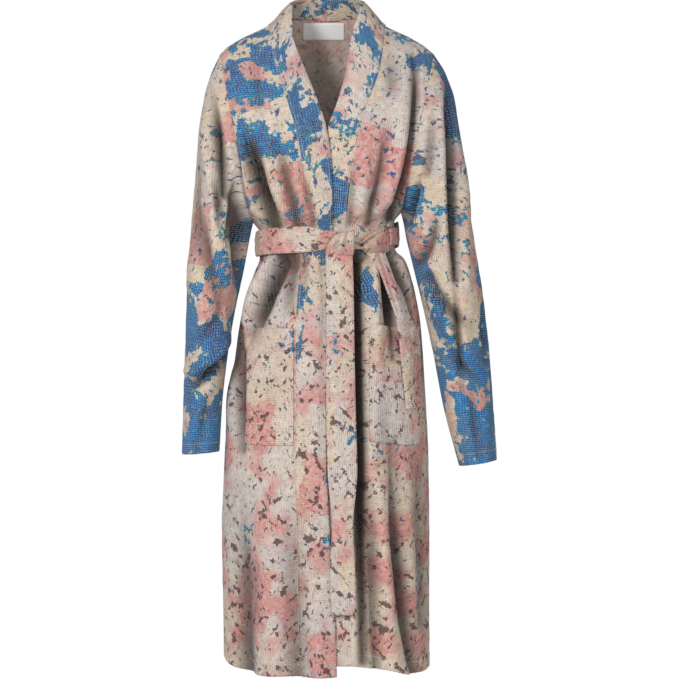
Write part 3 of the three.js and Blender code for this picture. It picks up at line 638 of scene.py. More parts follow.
class BodyShape:
    """The form of the robe's body: chest above the armpits, skirt below them, and the folds on both."""

    pucker = Ripple(11, 26, 15, 0.5)
    sway = Ripple(12, 90, 150, 1.5)

    # Each of these is where a fade starts and over how far it runs.
    ABOVE_BELT = (-46, 40)
    BELOW_BELT = (2, 12)
    TUCK_ACROSS = (22, 30)
    TUCK_DOWN = (95, 70)
    FOLD_FADE = 0.1  # beside a side seam, as a share of the way to the middle
    RIPPLE_FADE = 0.05
    HALF_ROUND = 280  # from the middle to a side seam, along the cloth
    BACK_APART = 1000  # sets the back's ripples apart from the fronts'
    REACH = 0.95  # how near to a side seam a rail may run

    @staticmethod
    def chest(face: int, across: Array, down: Array) -> Array:
        """Points above the armpits.

        Args:
            face: -1 in front, 1 behind.
            across: From -1 at the right armhole to 1 at the left.
            down: From 0 at the shoulder seam to 1 at the armpits.

        Returns:
            Points in millimetres.
        """
        s = SIZES
        out = np.abs(across)
        soft = s.centre_softness
        rounded = (np.hypot(out, soft) - soft) / (math.hypot(1, soft) - soft)
        whole = HALF_TURN * (1 + mix(rounded, out, down**2)) / 2
        turn = down * whole
        share = (1 - np.cos(turn)) / (1 - np.cos(whole))
        top_drop = SHOULDER_LINE.at("drop", out * s.shoulder_out)
        low_x = s.armpit_out * np.sin(QUARTER_TURN * out)
        low_drop = s.armpit_drop - s.tilt * across
        middle = GIRTH.at("front" if face < 0 else "back", s.armpit_drop)
        depth = mix(middle, s.armhole_depth, out * out)
        swell = np.sin(turn)
        fullness = mix(s.back_fullness, 1.0, out * out * down) if face > 0 else 1.0
        forward = np.sign(swell) * np.abs(swell) ** fullness
        x = np.sign(across) * mix(out * s.shoulder_out, low_x, share)
        return np.stack([x, face * depth * forward, -mix(top_drop, low_drop, share)], axis=-1)

    @staticmethod
    def skirt(part: Part, across: Array, share: Array) -> Array:
        """Points below the armpits.

        Args:
            part: The panel, which sets the hem.
            across: From -1 at the right side seam to 1 at the left.
            share: From 0 at the armpits to 1 at the hem.

        Returns:
            Points in millimetres.
        """
        s = SIZES
        drop = mix(s.armpit_drop, HEM[part].at("drop", across), share)
        width = np.where(across < 0, GIRTH.at("right", drop), GIRTH.at("left", drop))
        turn = QUARTER_TURN * across
        depth = GIRTH.at("front" if part.face < 0 else "back", drop)
        depth = mix(depth, GIRTH.at("flank", drop), np.minimum(1, across**2))
        tilt = s.tilt * across * (1 - ease((drop - s.belt_bottom) / (s.tilt_end - s.belt_bottom)))
        return np.stack([width * np.sin(turn), part.face * depth * np.cos(turn), tilt - drop], axis=-1)

    @classmethod
    def base(cls, part: Part, across: Array, down: Array) -> Array:
        """Points of a panel without its folds.

        Args:
            part: The panel.
            across: From -1 at the right side seam to 1 at the left.
            down: From 0 to 1 on the chest and from 1 to 2 on the skirt.

        Returns:
            Points in millimetres.
        """
        across, down = np.broadcast_arrays(np.asarray(across, float), np.asarray(down, float))
        chest = cls.chest(part.face, across, np.minimum(down, 1.0))
        skirt = cls.skirt(part, across, np.maximum(down - 1.0, 0.0))
        return np.where((down <= 1.0)[..., None], chest, skirt)

    @staticmethod
    def at_drop(drop: Array) -> Array:
        """The value of "down" on the skirt at a drop."""
        return 1 + (drop - SIZES.armpit_drop) / (SIZES.hem_drop - SIZES.armpit_drop)

    @classmethod
    def relief(cls, part: Part, across: Array, points: Array) -> tuple[Array, Array]:
        """How far the folds move the cloth: nothing under the belt and at the side seams.

        Args:
            part: The panel.
            across: From side seam to side seam.
            points: The panel's points without folds.

        Returns:
            A height for each point, and how deep inside a fold it lies, which sets the shade painted there.
        """
        s = SIZES
        x, drop = points[..., 0], -points[..., 2]
        level = drop + s.tilt * across
        above = 1 - fade(level - s.belt_top, cls.ABOVE_BELT)
        belt = np.maximum(above, fade(level - s.belt_bottom, cls.BELOW_BELT))
        off_seam = 1 - np.abs(across)
        side = ease(off_seam / cls.FOLD_FADE)
        height = fold_height(FOLDS[part], x, drop) * belt * side
        # How deep each place lies inside the folds, for the shade painted into the colour, faded beside the
        # side seams.
        depth = hollow(FOLDS[part], x, drop) * side
        arc = across * cls.HALF_ROUND + (cls.BACK_APART if part is Part.BACK else 0)
        ripple = cls.sway.at(arc, drop) + cls.pucker.at(arc, drop)
        height += ripple * belt * ease(off_seam / cls.RIPPLE_FADE)
        if part is Part.UNDER:
            height -= s.tuck * (1 - fade(x, cls.TUCK_ACROSS)) * fade(drop, cls.TUCK_DOWN)
        return height, depth

    @classmethod
    def panel(cls, part: Part, across: Array, down: Array) -> tuple[Array, Array, Array]:
        """Points and normals of a panel with its folds.

        Args:
            part: The panel.
            across: A grid of places from side seam to side seam.
            down: A grid of places from the shoulder to the hem.

        Returns:
            The points, the directions square to them, and how deep inside a fold they lie, which sets the
            shade painted there.
        """
        across, down = np.broadcast_arrays(across, down)
        turned = part.face * int(np.sign((across[:, -1] - across[:, 0]).sum()))
        base = cls.base(part, across, down)
        height, depth = cls.relief(part, across, base)
        points = base + grid_normals(base, turned) * height[..., None]
        return points, grid_normals(points, turned), depth

    @classmethod
    def across_at(cls, part: Part, rail: Table, down: Array) -> Array:
        """Where a panel reaches the x that a rail gives at each height.

        Args:
            part: The panel.
            rail: x by drop.
            down: Heights.

        Returns:
            A value of "across" for each height.
        """

        def before(across: Array) -> Array:
            """Whether each place lies before the rail."""
            point = cls.base(part, across, down)
            return point[..., 0] < rail.at("x", -point[..., 2])

        return narrow(before, -cls.REACH, cls.REACH, down.shape)

    @staticmethod
    def front_depth(x: Array, drop: Array) -> Array:
        """How far forward the body reaches without its folds.

        Args:
            x: Places across, seen from the front.
            drop: Places down.

        Returns:
            The distance forward of the origin at each place.
        """
        width = np.where(x < 0, GIRTH.at("right", drop), GIRTH.at("left", drop))
        across = np.arcsin(np.clip(x / width, -1, 1)) / QUARTER_TURN
        depth = mix(GIRTH.at("front", drop), GIRTH.at("flank", drop), across**2)
        return depth * np.cos(QUARTER_TURN * across)


SLEEVE_COLUMNS = ("along", "outer_x", "outer_drop", "inner_x", "inner_drop", "depth", "forward")
SLEEVE_RINGS = {
    Side.RIGHT: Table(SLEEVE_COLUMNS, (
        (0, 192, 44, 133, 347, 78, 0),
        (0.06, 210, 84, 134.5, 354, 82, 2),
        (0.13, 222, 130, 136, 361, 84, 4),
        (0.21, 231, 200, 138, 371, 85, 7),
        (0.31, 238, 285, 141, 388, 84, 11),
        (0.43, 246, 385, 148, 427, 80, 15),
        (0.56, 251, 485, 165, 507, 72, 19),
        (0.7, 254, 580, 178, 588, 64, 23),
        (0.84, 257, 670, 187, 670, 56, 27),
        (1, 259, 761, 192, 756, 49, 30),
    )),
    Side.LEFT: Table(SLEEVE_COLUMNS, (
        (0, 192, 44, 133, 329, 78, 0),
        (0.06, 214, 80, 135, 337, 82, 2),
        (0.13, 229, 125, 137, 345, 84, 4),
        (0.21, 239, 190, 139, 356, 85, 7),
        (0.31, 249, 275, 142, 374, 84, 11),
        (0.43, 263, 372, 151, 412, 80, 15),
        (0.56, 280, 480, 170, 490, 72, 19),
        (0.7, 290, 572, 189, 576, 64, 23),
        (0.84, 297, 668, 209, 680, 56, 27),
        (1, 304, 771, 236, 782, 49, 30),
    )),
}
SLEEVE_FOLDS = {
    (Side.RIGHT, "front"): (
        Fold(-144, 332, -147, 395, -143, 456, 13, -20, -40, -20),
        Fold(-226, 110, -210, 230, -192, 330, 12, 0, 11, 9),
        Fold(-210, 90, -193, 200, -178, 300, 8, 0, -26, -18, 1.4),
        Fold(-198, 262, -193, 315, -189, 356, 6, -3, -20, -8, 1.6),
        Fold(-157, 272, -163, 325, -174, 380, 7, -6, -24, -8, 1.7),
        Fold(-238, 290, -216, 400, -186, 480, 13, 0, -14, -8),
        Fold(-244, 380, -228, 470, -196, 540, 16, 2, 9, 6),
        Fold(-168, 556, -203, 594, -240, 614, 14, 10, 16, 9, 0.6),
        Fold(-172, 573, -203, 611, -238, 634, 7, -14, -26, -16, 1.5),
        Fold(-184, 498, -206, 538, -240, 562, 9, -6, -11, -4),
        Fold(-196, 640, -214, 700, -232, 752, 11, 0, -10, -6),
        Fold(-226, 200, -236, 300, -238, 400, 9, 0, -9, -3),
    ),
    (Side.RIGHT, "back"): (
        Fold(-236, 300, -200, 370, -160, 410, 18, 0, -8, -6),
        Fold(-246, 540, -214, 580, -182, 590, 16, -3, -8, -4),
    ),
    (Side.LEFT, "front"): (
        Fold(219, 84, 223, 262, 230, 450, 9, -8, -44, -18, 0.75),
        Fold(243, 120, 245, 280, 248, 460, 8, 2, 9, 5),
        Fold(202, 110, 203, 240, 208, 420, 11, 0, 10, 6),
        Fold(229, 470, 231, 550, 238, 650, 7, -5, -20, -6),
        Fold(279, 495, 281, 540, 284, 596, 4, -6, -18, -6),
        Fold(178, 60, 182, 160, 176, 260, 10, 0, -15, -10),
        Fold(160, 272, 150, 312, 141, 352, 7, -5, -24, -14),
        Fold(196, 320, 184, 380, 158, 424, 9, 0, -15, -12),
        Fold(178, 448, 214, 504, 260, 532, 10, -12, -18, -5),
        Fold(188, 484, 222, 540, 264, 572, 11, 4, 11, 5),
        Fold(204, 560, 236, 602, 272, 624, 7, -6, -14, -5),
        Fold(252, 620, 262, 690, 272, 760, 11, 0, -10, -7),
    ),
    (Side.LEFT, "back"): (
        Fold(240, 280, 204, 350, 164, 396, 18, 0, -8, -6),
        Fold(276, 520, 240, 566, 196, 590, 16, -3, -8, -4),
    ),
}


class SleeveShape:
    """The form of one sleeve: rings from the armhole to the cuff."""

    START = 0.0008  # the first ring, just beside the armhole
    TOP_FADE = (0.02, 0.1)  # where the folds start to show down the sleeve, and over how far
    FOLD_FADE = 0.5  # beside the sleeve's two edges, as a share of the way to its middle
    SWAY_FADE = 0.6
    # The shade painted into the folds fades out beside the sleeve's two edges, over this share of the way to
    # its middle.
    HOLLOW_FADE = 0.4
    UNDER_FADE = 0.2  # beside the seam under the arm, as a turn
    BACK_APART = 400
    GIRTH_SHARE = 70  # the cloth's way round for a turn of 1
    LENGTH = 750

    def __init__(self, side: Side) -> None:
        """Takes the side's tables.

        Args:
            side: The wearer's side.
        """
        self.side = side
        self.rings = SLEEVE_RINGS[side]
        self.folds = [SLEEVE_FOLDS[side, face] for face in ("front", "back")]
        seed = 21 if side is Side.RIGHT else 22
        self.pucker = Ripple(seed, 24, 14, 0.5)
        self.sway = Ripple(seed + 4, 70, 110, 1.6)

    def base(self, angle: Array, along: Array) -> Array:
        """Points without folds.

        Args:
            angle: Round the ring, from the outer side to the front and on.
            along: From 0 at the armhole to 1 at the cuff.

        Returns:
            Points in millimetres.
        """
        size = {name: self.rings.at(name, along) for name in self.rings.columns}
        turn = np.cos(angle)
        x = mix(size["inner_x"], size["outer_x"], (1 + turn) / 2)
        drop = mix(size["inner_drop"], size["outer_drop"], (1 + turn) / 2)
        y = -size["forward"] - size["depth"] * np.sin(angle)
        return np.stack([self.side.value * x, y, -drop], axis=-1)

    def panel(self, angle: Array, along: Array) -> tuple[Array, Array, Array]:
        """Points and normals with the folds.

        Args:
            angle: A grid of places round the ring.
            along: A grid of places down the sleeve.

        Returns:
            The points, the directions square to them, and how deep inside a fold they lie, which sets the
            shade painted there.
        """
        base = self.base(angle, along)
        facing = np.sin(angle)
        x, drop = base[..., 0], -base[..., 2]
        front, back = self.folds
        height = np.where(facing > 0, fold_height(front, x, drop), fold_height(back, x, drop))
        height = height * ease(np.abs(facing) / self.FOLD_FADE)
        sway = self.sway.at(x + self.BACK_APART * (facing < 0), drop) * ease(np.abs(facing) / self.SWAY_FADE)
        pucker = self.pucker.at(angle * self.GIRTH_SHARE, along * self.LENGTH)
        height += sway + pucker * ease(np.abs(angle - math.pi) / self.UNDER_FADE)
        start = fade(along, self.TOP_FADE)
        points = base + grid_normals(base, self.side.value, ring=True) * (height * start)[..., None]
        # How deep each place lies inside the folds, for the shade painted into the colour.
        depth = np.where(facing > 0, hollow(front, x, drop), hollow(back, x, drop)) * start
        depth = depth * ease(np.abs(facing) / self.HOLLOW_FADE)
        return points, grid_normals(points, self.side.value, ring=True), depth


@dataclass(frozen=True)
class Cut:
    """How a piece is cut and lies: its solid, its slot and its flat size in metres."""

    node: str
    slot: str
    width: float
    length: float
    held: str
    area: Optional[float] = None
    rests_on: tuple[str, ...] = ()


def declare(piece: Object, cut: Cut, going_with: Sequence[Object] = ()) -> None:
    """Attaches a finished cloth piece and the pieces on it to the root, hides its solid and logs its size.

    Args:
        piece: The piece.
        cut: Its solid, slot and flat size; only the solid is used, and it is hidden.
        going_with: Separate pieces on it, such as its stitches.
    """
    for item in (piece, *going_with):
        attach(item, "root")
    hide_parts(cut.node)
    list(cut.rests_on)
    log.info("%s: %d corner points, %d pieces on it", piece.name, len(piece.data.vertices), len(going_with))


# Where on the printed cloth each piece is cut, which sets the patches that fall on it.
PRINT_AT = {
    "robe_back": (3100, 400),
    "robe_front_right": (200, 100),
    "robe_front_left": (1700, 900),
    "robe_pocket_right": (4300, 2200),
    "robe_pocket_left": (5400, 3300),
    "robe_band_right": (6500, 4400),
    "robe_band_left": (7600, 5500),
    "robe_label": (0, 0),
    "robe_sleeve_right": (8700, 6600),
    "robe_sleeve_left": (9800, 7700),
    "robe_belt_wrap": (8800, 300),
    "robe_belt_tail_long": (1200, 9900),
    "robe_belt_tail_short": (2150, 10420),
    "robe_belt_twist": (3200, 10900),
    "robe_belt_knot": (1200, 9900),
}


@dataclass
class Body:
    """The robe's body: the back, both fronts, their bands and the pockets."""

    finishes: "Finishes"
    stitches: "Stitches"
    hem_rows: int = 6
    chest_rows: int = 104
    neck_columns: int = 64
    side_columns: int = 34
    band_columns: int = 13
    collar_rows: int = 40
    spans: dict[Part, tuple[int, int, int]] = field(
        default_factory=lambda: {Part.OVER: (14, 36, 26), Part.UNDER: (20, 38, 20)}
    )
    pockets: dict[Part, tuple[float, float]] = field(
        default_factory=lambda: {Part.OVER: (58, 146), Part.UNDER: (76, 166)}
    )
    side_trim: float = 0.0012  # how far a seam's edge stays back, as a share of the way across
    pocket_top: float = 538
    pocket_bottom: float = 742
    pocket_gap: float = 0.4
    pocket_swell: float = 2.2
    pocket_fades: tuple[float, float] = (0.12, 0.1)  # beside its sides and above its bottom, as shares
    mouth_swell: float = 1.6
    mouth_fades: tuple[float, float] = (0.3, 0.15)
    band_crown: float = 1.3
    band_start: float = 0.005  # how far each length stays back from the centre back, as a turn
    band_trim: float = 0.008  # how far it stays back from the neck seam, as a share of its width
    least_down: float = 1e-4  # keeps the band's neck just off the shoulder seam
    label_drops: tuple[float, float] = (-20, 10)
    label_sides: tuple[float, float] = (-44, 31)
    label_rows: int = 9
    label_columns: int = 21
    label_cloth: float = 0.6
    label_gap: float = 1.1
    label_out: float = 195  # the distance out for which "across" is 1 at the label's height
    label_down: tuple[float, float] = (0.1, 0.9)  # the shares of the chest between which it lies

    def rows(self) -> Array:
        """Heights of the rows, with one on the pockets' top and one on their bottom.

        Returns:
            A value of "down" for each row.
        """
        stops = [SIZES.armpit_drop, self.pocket_top, self.pocket_bottom, SIZES.hem_drop]
        rows = [np.linspace(TOP_SHARE, 1.0, self.chest_rows)]
        for top, bottom in zip(stops, stops[1:]):
            count = int((bottom - top) / GRID_STEP) + 1
            rows.append(np.linspace(BodyShape.at_drop(top), BodyShape.at_drop(bottom), count)[1:])
        return np.concatenate(rows)

    def back_top(self, across: Array) -> Array:
        """Where the back starts: at the seam or the neckline.

        Args:
            across: Places from side seam to side seam.

        Returns:
            The share of the way down the chest at each place.
        """
        out = np.abs(across) / (SIZES.neck_out / SIZES.shoulder_out)
        curve = np.maximum(1 - out * out, 0) ** (SIZES.neck_curve / 2)
        return np.maximum(TOP_SHARE, SIZES.neck_seam_turn * curve)

    def build_back(self) -> Sewn:
        """Makes the back: one panel with the neck cut out.

        Returns:
            The back and its lines of stitches.
        """
        neck = SIZES.neck_out / SIZES.shoulder_out
        round_neck = -neck * np.cos(np.linspace(0, HALF_TURN, self.neck_columns + 1))
        side = np.linspace(1 - self.side_trim, neck, self.side_columns + 1)[:-1]
        across = np.concatenate([-side, round_neck, side[::-1]])
        down = self.rows()[:, None]
        share = (down - TOP_SHARE) / (1 - TOP_SHARE)
        down = np.where(down < 1, mix(self.back_top(across), 1, share), down)
        points, normals, depth = BodyShape.panel(Part.BACK, across[None, :], down)
        plain = BodyShape.base(Part.BACK, across[None, :], down)
        flat = flat_places(plain, PRINT_AT["robe_back"], upright=True)
        wall = Wall(points, normals, SIZES.cloth, flat, hollow=depth)
        quilt, inside = self.finishes.printed(Cloth.QUILT), self.finishes.printed(Cloth.INSIDE)
        made = wall.build("robe_back", quilt, inside)
        return made, [wall.line(-self.hem_rows, slice(2, -2))]

    def seam(self, part: Part, down: Array) -> Array:
        """The place of a front's band seam at each height."""
        return BodyShape.across_at(part, SEAM_RAIL[part], down)

    def pocket_share(self, part: Part, out: float, down: Array) -> Array:
        """Where a pocket's upright edge lies.

        Args:
            part: The front.
            out: The edge's distance from the middle of the robe.
            down: Heights.

        Returns:
            The share of the way from the band seam to the side seam at each height.
        """
        drop = np.clip(mix(SIZES.armpit_drop, SIZES.hem_drop, down - 1), self.pocket_top, self.pocket_bottom)
        seam = np.abs(self.seam(part, BodyShape.at_drop(drop)))
        return (np.arcsin(out / GIRTH.at(part.worn, drop)) / QUARTER_TURN - seam) / (1 - seam)

    def front_grid(self, part: Part) -> tuple[Array, Array]:
        """The columns and rows of a front.

        Args:
            part: The front.

        Returns:
            A grid of places across and a grid of places down.
        """
        down = self.rows()
        seam = self.seam(part, down) + part.side * self.side_trim
        edge = np.full(down.shape, part.side * (1 - self.side_trim))
        inner, outer = (mix(seam, edge, self.pocket_share(part, out, down)) for out in self.pockets[part])
        columns = []
        for steps, start, end in zip(self.spans[part], (seam, inner, outer), (inner, outer, edge)):
            shares = np.linspace(0, 1, steps + 1)[(1 if columns else 0):]
            columns.append(mix(start[:, None], end[:, None], shares[None, :]))
        across = np.concatenate(columns, axis=1)
        return across, np.broadcast_to(down[:, None], across.shape)

    def build_front(self, part: Part) -> Sewn:
        """Makes one front, from its band seam to its side seam.

        Args:
            part: The front.

        Returns:
            The front and its lines of stitches.
        """
        grid = self.front_grid(part)
        points, normals, depth = BodyShape.panel(part, *grid)
        name = f"robe_front_{part.worn}"
        flat = flat_places(BodyShape.base(part, *grid), PRINT_AT[name], upright=True)
        wall = Wall(points, normals, SIZES.cloth, flat, hollow=depth)
        made = wall.build(name, self.finishes.printed(Cloth.QUILT), self.finishes.printed(Cloth.INSIDE))
        return made, [wall.line(-self.hem_rows, slice(1, -2)), wall.line(slice(2, -1), 1)]

    def build_pocket(self, part: Part) -> Sewn:
        """Makes one patch pocket from the front's own points, moved out.

        Args:
            part: The front that it is sewn on.

        Returns:
            The pocket and its lines of stitches.
        """
        across, down = self.front_grid(part)
        points, normals, depth = BodyShape.panel(part, across, down)
        first, wide = self.spans[part][:2]
        top, bottom = BodyShape.at_drop(self.pocket_top), BodyShape.at_drop(self.pocket_bottom)
        rows = np.flatnonzero((down[:, 0] > top - NEAR) & (down[:, 0] < bottom + NEAR))
        window = (slice(rows[0], rows[-1] + 1), slice(first, first + wide + 1))
        points, normals, depth = points[window], normals[window], depth[window]
        u = np.linspace(0, 1, points.shape[1])[None, :]
        v = np.linspace(0, 1, points.shape[0])[:, None]
        inward = np.minimum(u, 1 - u)
        sewn = np.minimum(inward / self.pocket_fades[0], (1 - v) / self.pocket_fades[1])
        mouth = (1 - ease(v / self.mouth_fades[1])) * ease(inward / self.mouth_fades[0])
        swell = self.pocket_swell * ease(sewn) + self.mouth_swell * mouth
        points = points + normals * (self.pocket_gap + SIZES.cloth + swell)[..., None]
        name = f"robe_pocket_{part.worn}"
        wall = Wall(points, normals, SIZES.cloth, flat_places(points, PRINT_AT[name]), hollow=depth)
        made = wall.build(name, self.finishes.printed(Cloth.POCKET), self.finishes.printed(Cloth.POCKET))
        lines = [wall.line(slice(1, -1), column) for column in (1, -2)]
        return made, lines + [wall.line(row, slice(1, -1)) for row in (-2, self.hem_rows - 1)]

    def build_band(self, part: Part) -> Sewn:
        """Makes one length of the band: round the neck on the back's form, then down its front.

        Args:
            part: The front that it runs down.

        Returns:
            The band and its lines of stitches.
        """
        share = np.linspace(0.0, 1.0, self.band_columns)[None, :]
        angle = np.linspace(QUARTER_TURN - self.band_start, 0, self.collar_rows)[:, None]
        out, rise = part.side * np.cos(angle) / SIZES.shoulder_out, np.sin(angle) ** SIZES.neck_curve
        shrunk = mix(self.band_trim, 1.0, share)
        across = mix(SIZES.neck_out * out, SIZES.collar_out * out, shrunk)
        down = mix(SIZES.neck_seam_turn * rise, SIZES.neck_edge_turn * rise, shrunk)
        neck, neck_normals, neck_depth = BodyShape.panel(Part.BACK, across, np.maximum(down, self.least_down))
        heights = self.rows()[1:]
        seam = self.seam(part, heights) - part.side * self.side_trim / 2
        edge = BodyShape.across_at(part, EDGE_RAIL[part], heights)
        across = mix(seam[:, None], edge[:, None], share)
        down = np.broadcast_to(heights[:, None], across.shape)
        front, front_normals, depth = BodyShape.panel(part, across, down)
        normals = np.concatenate([neck_normals, front_normals])
        crown = self.band_crown * (1 - np.abs(2 * share - 1) ** 3)
        points = np.concatenate([neck, front]) + normals * crown[..., None]
        name = f"robe_band_{part.worn}"
        thickness = np.full(points.shape[:2], SIZES.band_cloth) + crown
        depth = np.concatenate([neck_depth, depth])
        wall = Wall(points, normals, thickness, flat_places(points, PRINT_AT[name]), hollow=depth)
        made = wall.build(name, self.finishes.printed(Cloth.BAND), self.finishes.printed(Cloth.BAND))
        return made, [wall.line(slice(2, -2), column) for column in (1, -2)]

    def build_label(self) -> Object:
        """Makes the bare label inside the back, just below the band.

        Returns:
            The label.
        """
        rows = np.linspace(*self.label_drops, self.label_rows)
        drop, x = np.meshgrid(rows, np.linspace(*self.label_sides, self.label_columns), indexing="ij")
        across = x / self.label_out

        def before(down: Array) -> Array:
            """Whether each place lies above the drop sought."""
            return -BodyShape.base(Part.BACK, across, down)[..., 2] < drop

        points, normals, _ = BodyShape.panel(Part.BACK, across, narrow(before, *self.label_down, x.shape))
        points = points - normals * (SIZES.cloth + self.label_gap)
        wall = Wall(points, normals, self.label_cloth, flat_places(points, PRINT_AT["robe_label"]))
        finish = self.finishes.label()
        return wall.build("robe_label", finish, finish)

    def build(self) -> None:
        """Makes and declares all the body's pieces."""
        sewn = (
            (self.build_back(), Cut("back", "quilt", 0.51, 1.23, "hung", 0.55)),
            (self.build_front(Part.OVER), Cut("front_right", "quilt", 0.24, 1.23, "hung", 0.22)),
            (self.build_front(Part.UNDER), Cut("front_left", "quilt", 0.24, 1.23, "hung", 0.22)),
            (self.build_band(Part.OVER), Cut("band_right", "band", 0.056, 1.36, "hung")),
            (self.build_band(Part.UNDER), Cut("band_left", "band", 0.056, 1.36, "hung")),
            (self.build_pocket(Part.OVER), Cut("pocket_right", "pocket", 0.12, 0.205, "hung")),
            (self.build_pocket(Part.UNDER), Cut("pocket_left", "pocket", 0.13, 0.205, "hung")),
        )
        for (piece, lines), cut in sewn:
            declare(piece, cut, [self.stitches.sew(f"{piece.name}_stitches", lines)])
        declare(self.build_label(), Cut("label", "label", 0.077, 0.03, "hung"))


@dataclass
class Sleeve:
    """One set-in sleeve: a tube from the armhole to the cuff."""

    finishes: "Finishes"
    stitches: "Stitches"
    side: Side
    sides: int = 156
    rows: int = 200
    cuff_rows: int = 7
    grain_column: float = 0.75  # where the flat cloth is measured from, in the middle of the front

    def build(self) -> None:
        shape = SleeveShape(self.side)
        angle = (np.linspace(0, 2 * HALF_TURN, self.sides + 1)[:-1] - HALF_TURN) % (2 * HALF_TURN)
        angle, along = np.meshgrid(angle, np.linspace(shape.START, 1, self.rows))
        points, normals, depth = shape.panel(angle, along)
        plain = shape.base(angle, along)
        closed = np.concatenate([plain, plain[:, :1]], axis=1)
        name = f"robe_sleeve_{self.side.worn}"
        flat = flat_places(closed, PRINT_AT[name], self.grain_column, upright=True)
        wall = Wall(points, normals, SIZES.cloth, flat, ring=True, hollow=depth)
        made = wall.build(name, self.finishes.printed(Cloth.SLEEVE), self.finishes.printed(Cloth.INSIDE))
        around = np.append(np.arange(self.sides), 0)
        stitched = self.stitches.sew(f"{name}_stitches", [wall.line(-self.cuff_rows, around)])
        declare(made, Cut(f"sleeve_{self.side.worn}", "quilt", 0.52, 0.74, "hung", 0.27), [stitched])


@dataclass
class Ribbon:
    """A stretch of belt seen from the front: stations down its length, each with two edges.

    "forward" is counted from the body's front where the ribbon hugs it, and from the origin where not.
    """

    name: str
    cut: Cut
    stations: Table
    rows: int
    columns: int = 15
    hugs: bool = True
    folds: tuple[Fold, ...] = ()
    thickness: float = SIZES.belt_cloth
    printed_from_end: bool = False  # whether its place on the print is that of the last row

    def places(self) -> tuple[Array, Array]:
        """The rows' places down the ribbon and the columns' places across it."""
        keys = self.stations.keys
        return np.linspace(keys[0], keys[-1], self.rows)[:, None], np.linspace(0, 1, self.columns)[None, :]

    def seen(self, along: Array, share: Array) -> tuple[Array, Array]:
        """The x and drop of places on the ribbon, seen from the front."""
        x = mix(self.stations.at("left", along), self.stations.at("right", along), share)
        return x, mix(self.stations.at("left_drop", along), self.stations.at("right_drop", along), share)

    def grid(self) -> tuple[Array, Array]:
        """The ribbon's form.

        Returns:
            Its points and the directions square to them.
        """
        along, share = self.places()
        x, drop = self.seen(along, share)
        crown = self.stations.at("crown", along) * (1 - (2 * share - 1) ** 2)
        forward = self.stations.at("forward", along) + crown
        if self.hugs:
            forward = forward + BodyShape.front_depth(x, drop)
        forward = forward + fold_height(self.folds, x, drop)
        points = np.stack([x, -forward, -drop], axis=-1)
        return points, grid_normals(points, -1)

    def build(self, finishes: "Finishes") -> Sewn:
        """Makes the ribbon with a row of stitches along each edge, and a zigzag across a tail's end.

        Args:
            finishes: The robe's materials.

        Returns:
            The ribbon and its lines of stitches.
        """
        points, normals = self.grid()
        # How deep inside its folds each point lies, for the shade painted there.
        depth = hollow(self.folds, *self.seen(*self.places())) if self.folds else None
        at = PRINT_AT[self.name]
        flat = flat_places(points, at)
        if self.printed_from_end:
            flat = flat - [0, flat[-1, 0, 1] - at[1]]
        wall = Wall(points, normals, self.thickness, flat, hollow=depth)
        made = wall.build(self.name, finishes.printed(Cloth.BELT), finishes.printed(Cloth.BELT))
        lines = [wall.line(slice(1, -1), column) for column in (1, -2)]
        if self.cut.held == "hung":
            across = np.arange(1, self.columns - 1)
            lines.append(wall.line(-1 - 2 * (across % 2), across))
        return made, lines


RIBBON_COLUMNS = ("along", "left", "left_drop", "right", "right_drop", "forward", "crown")


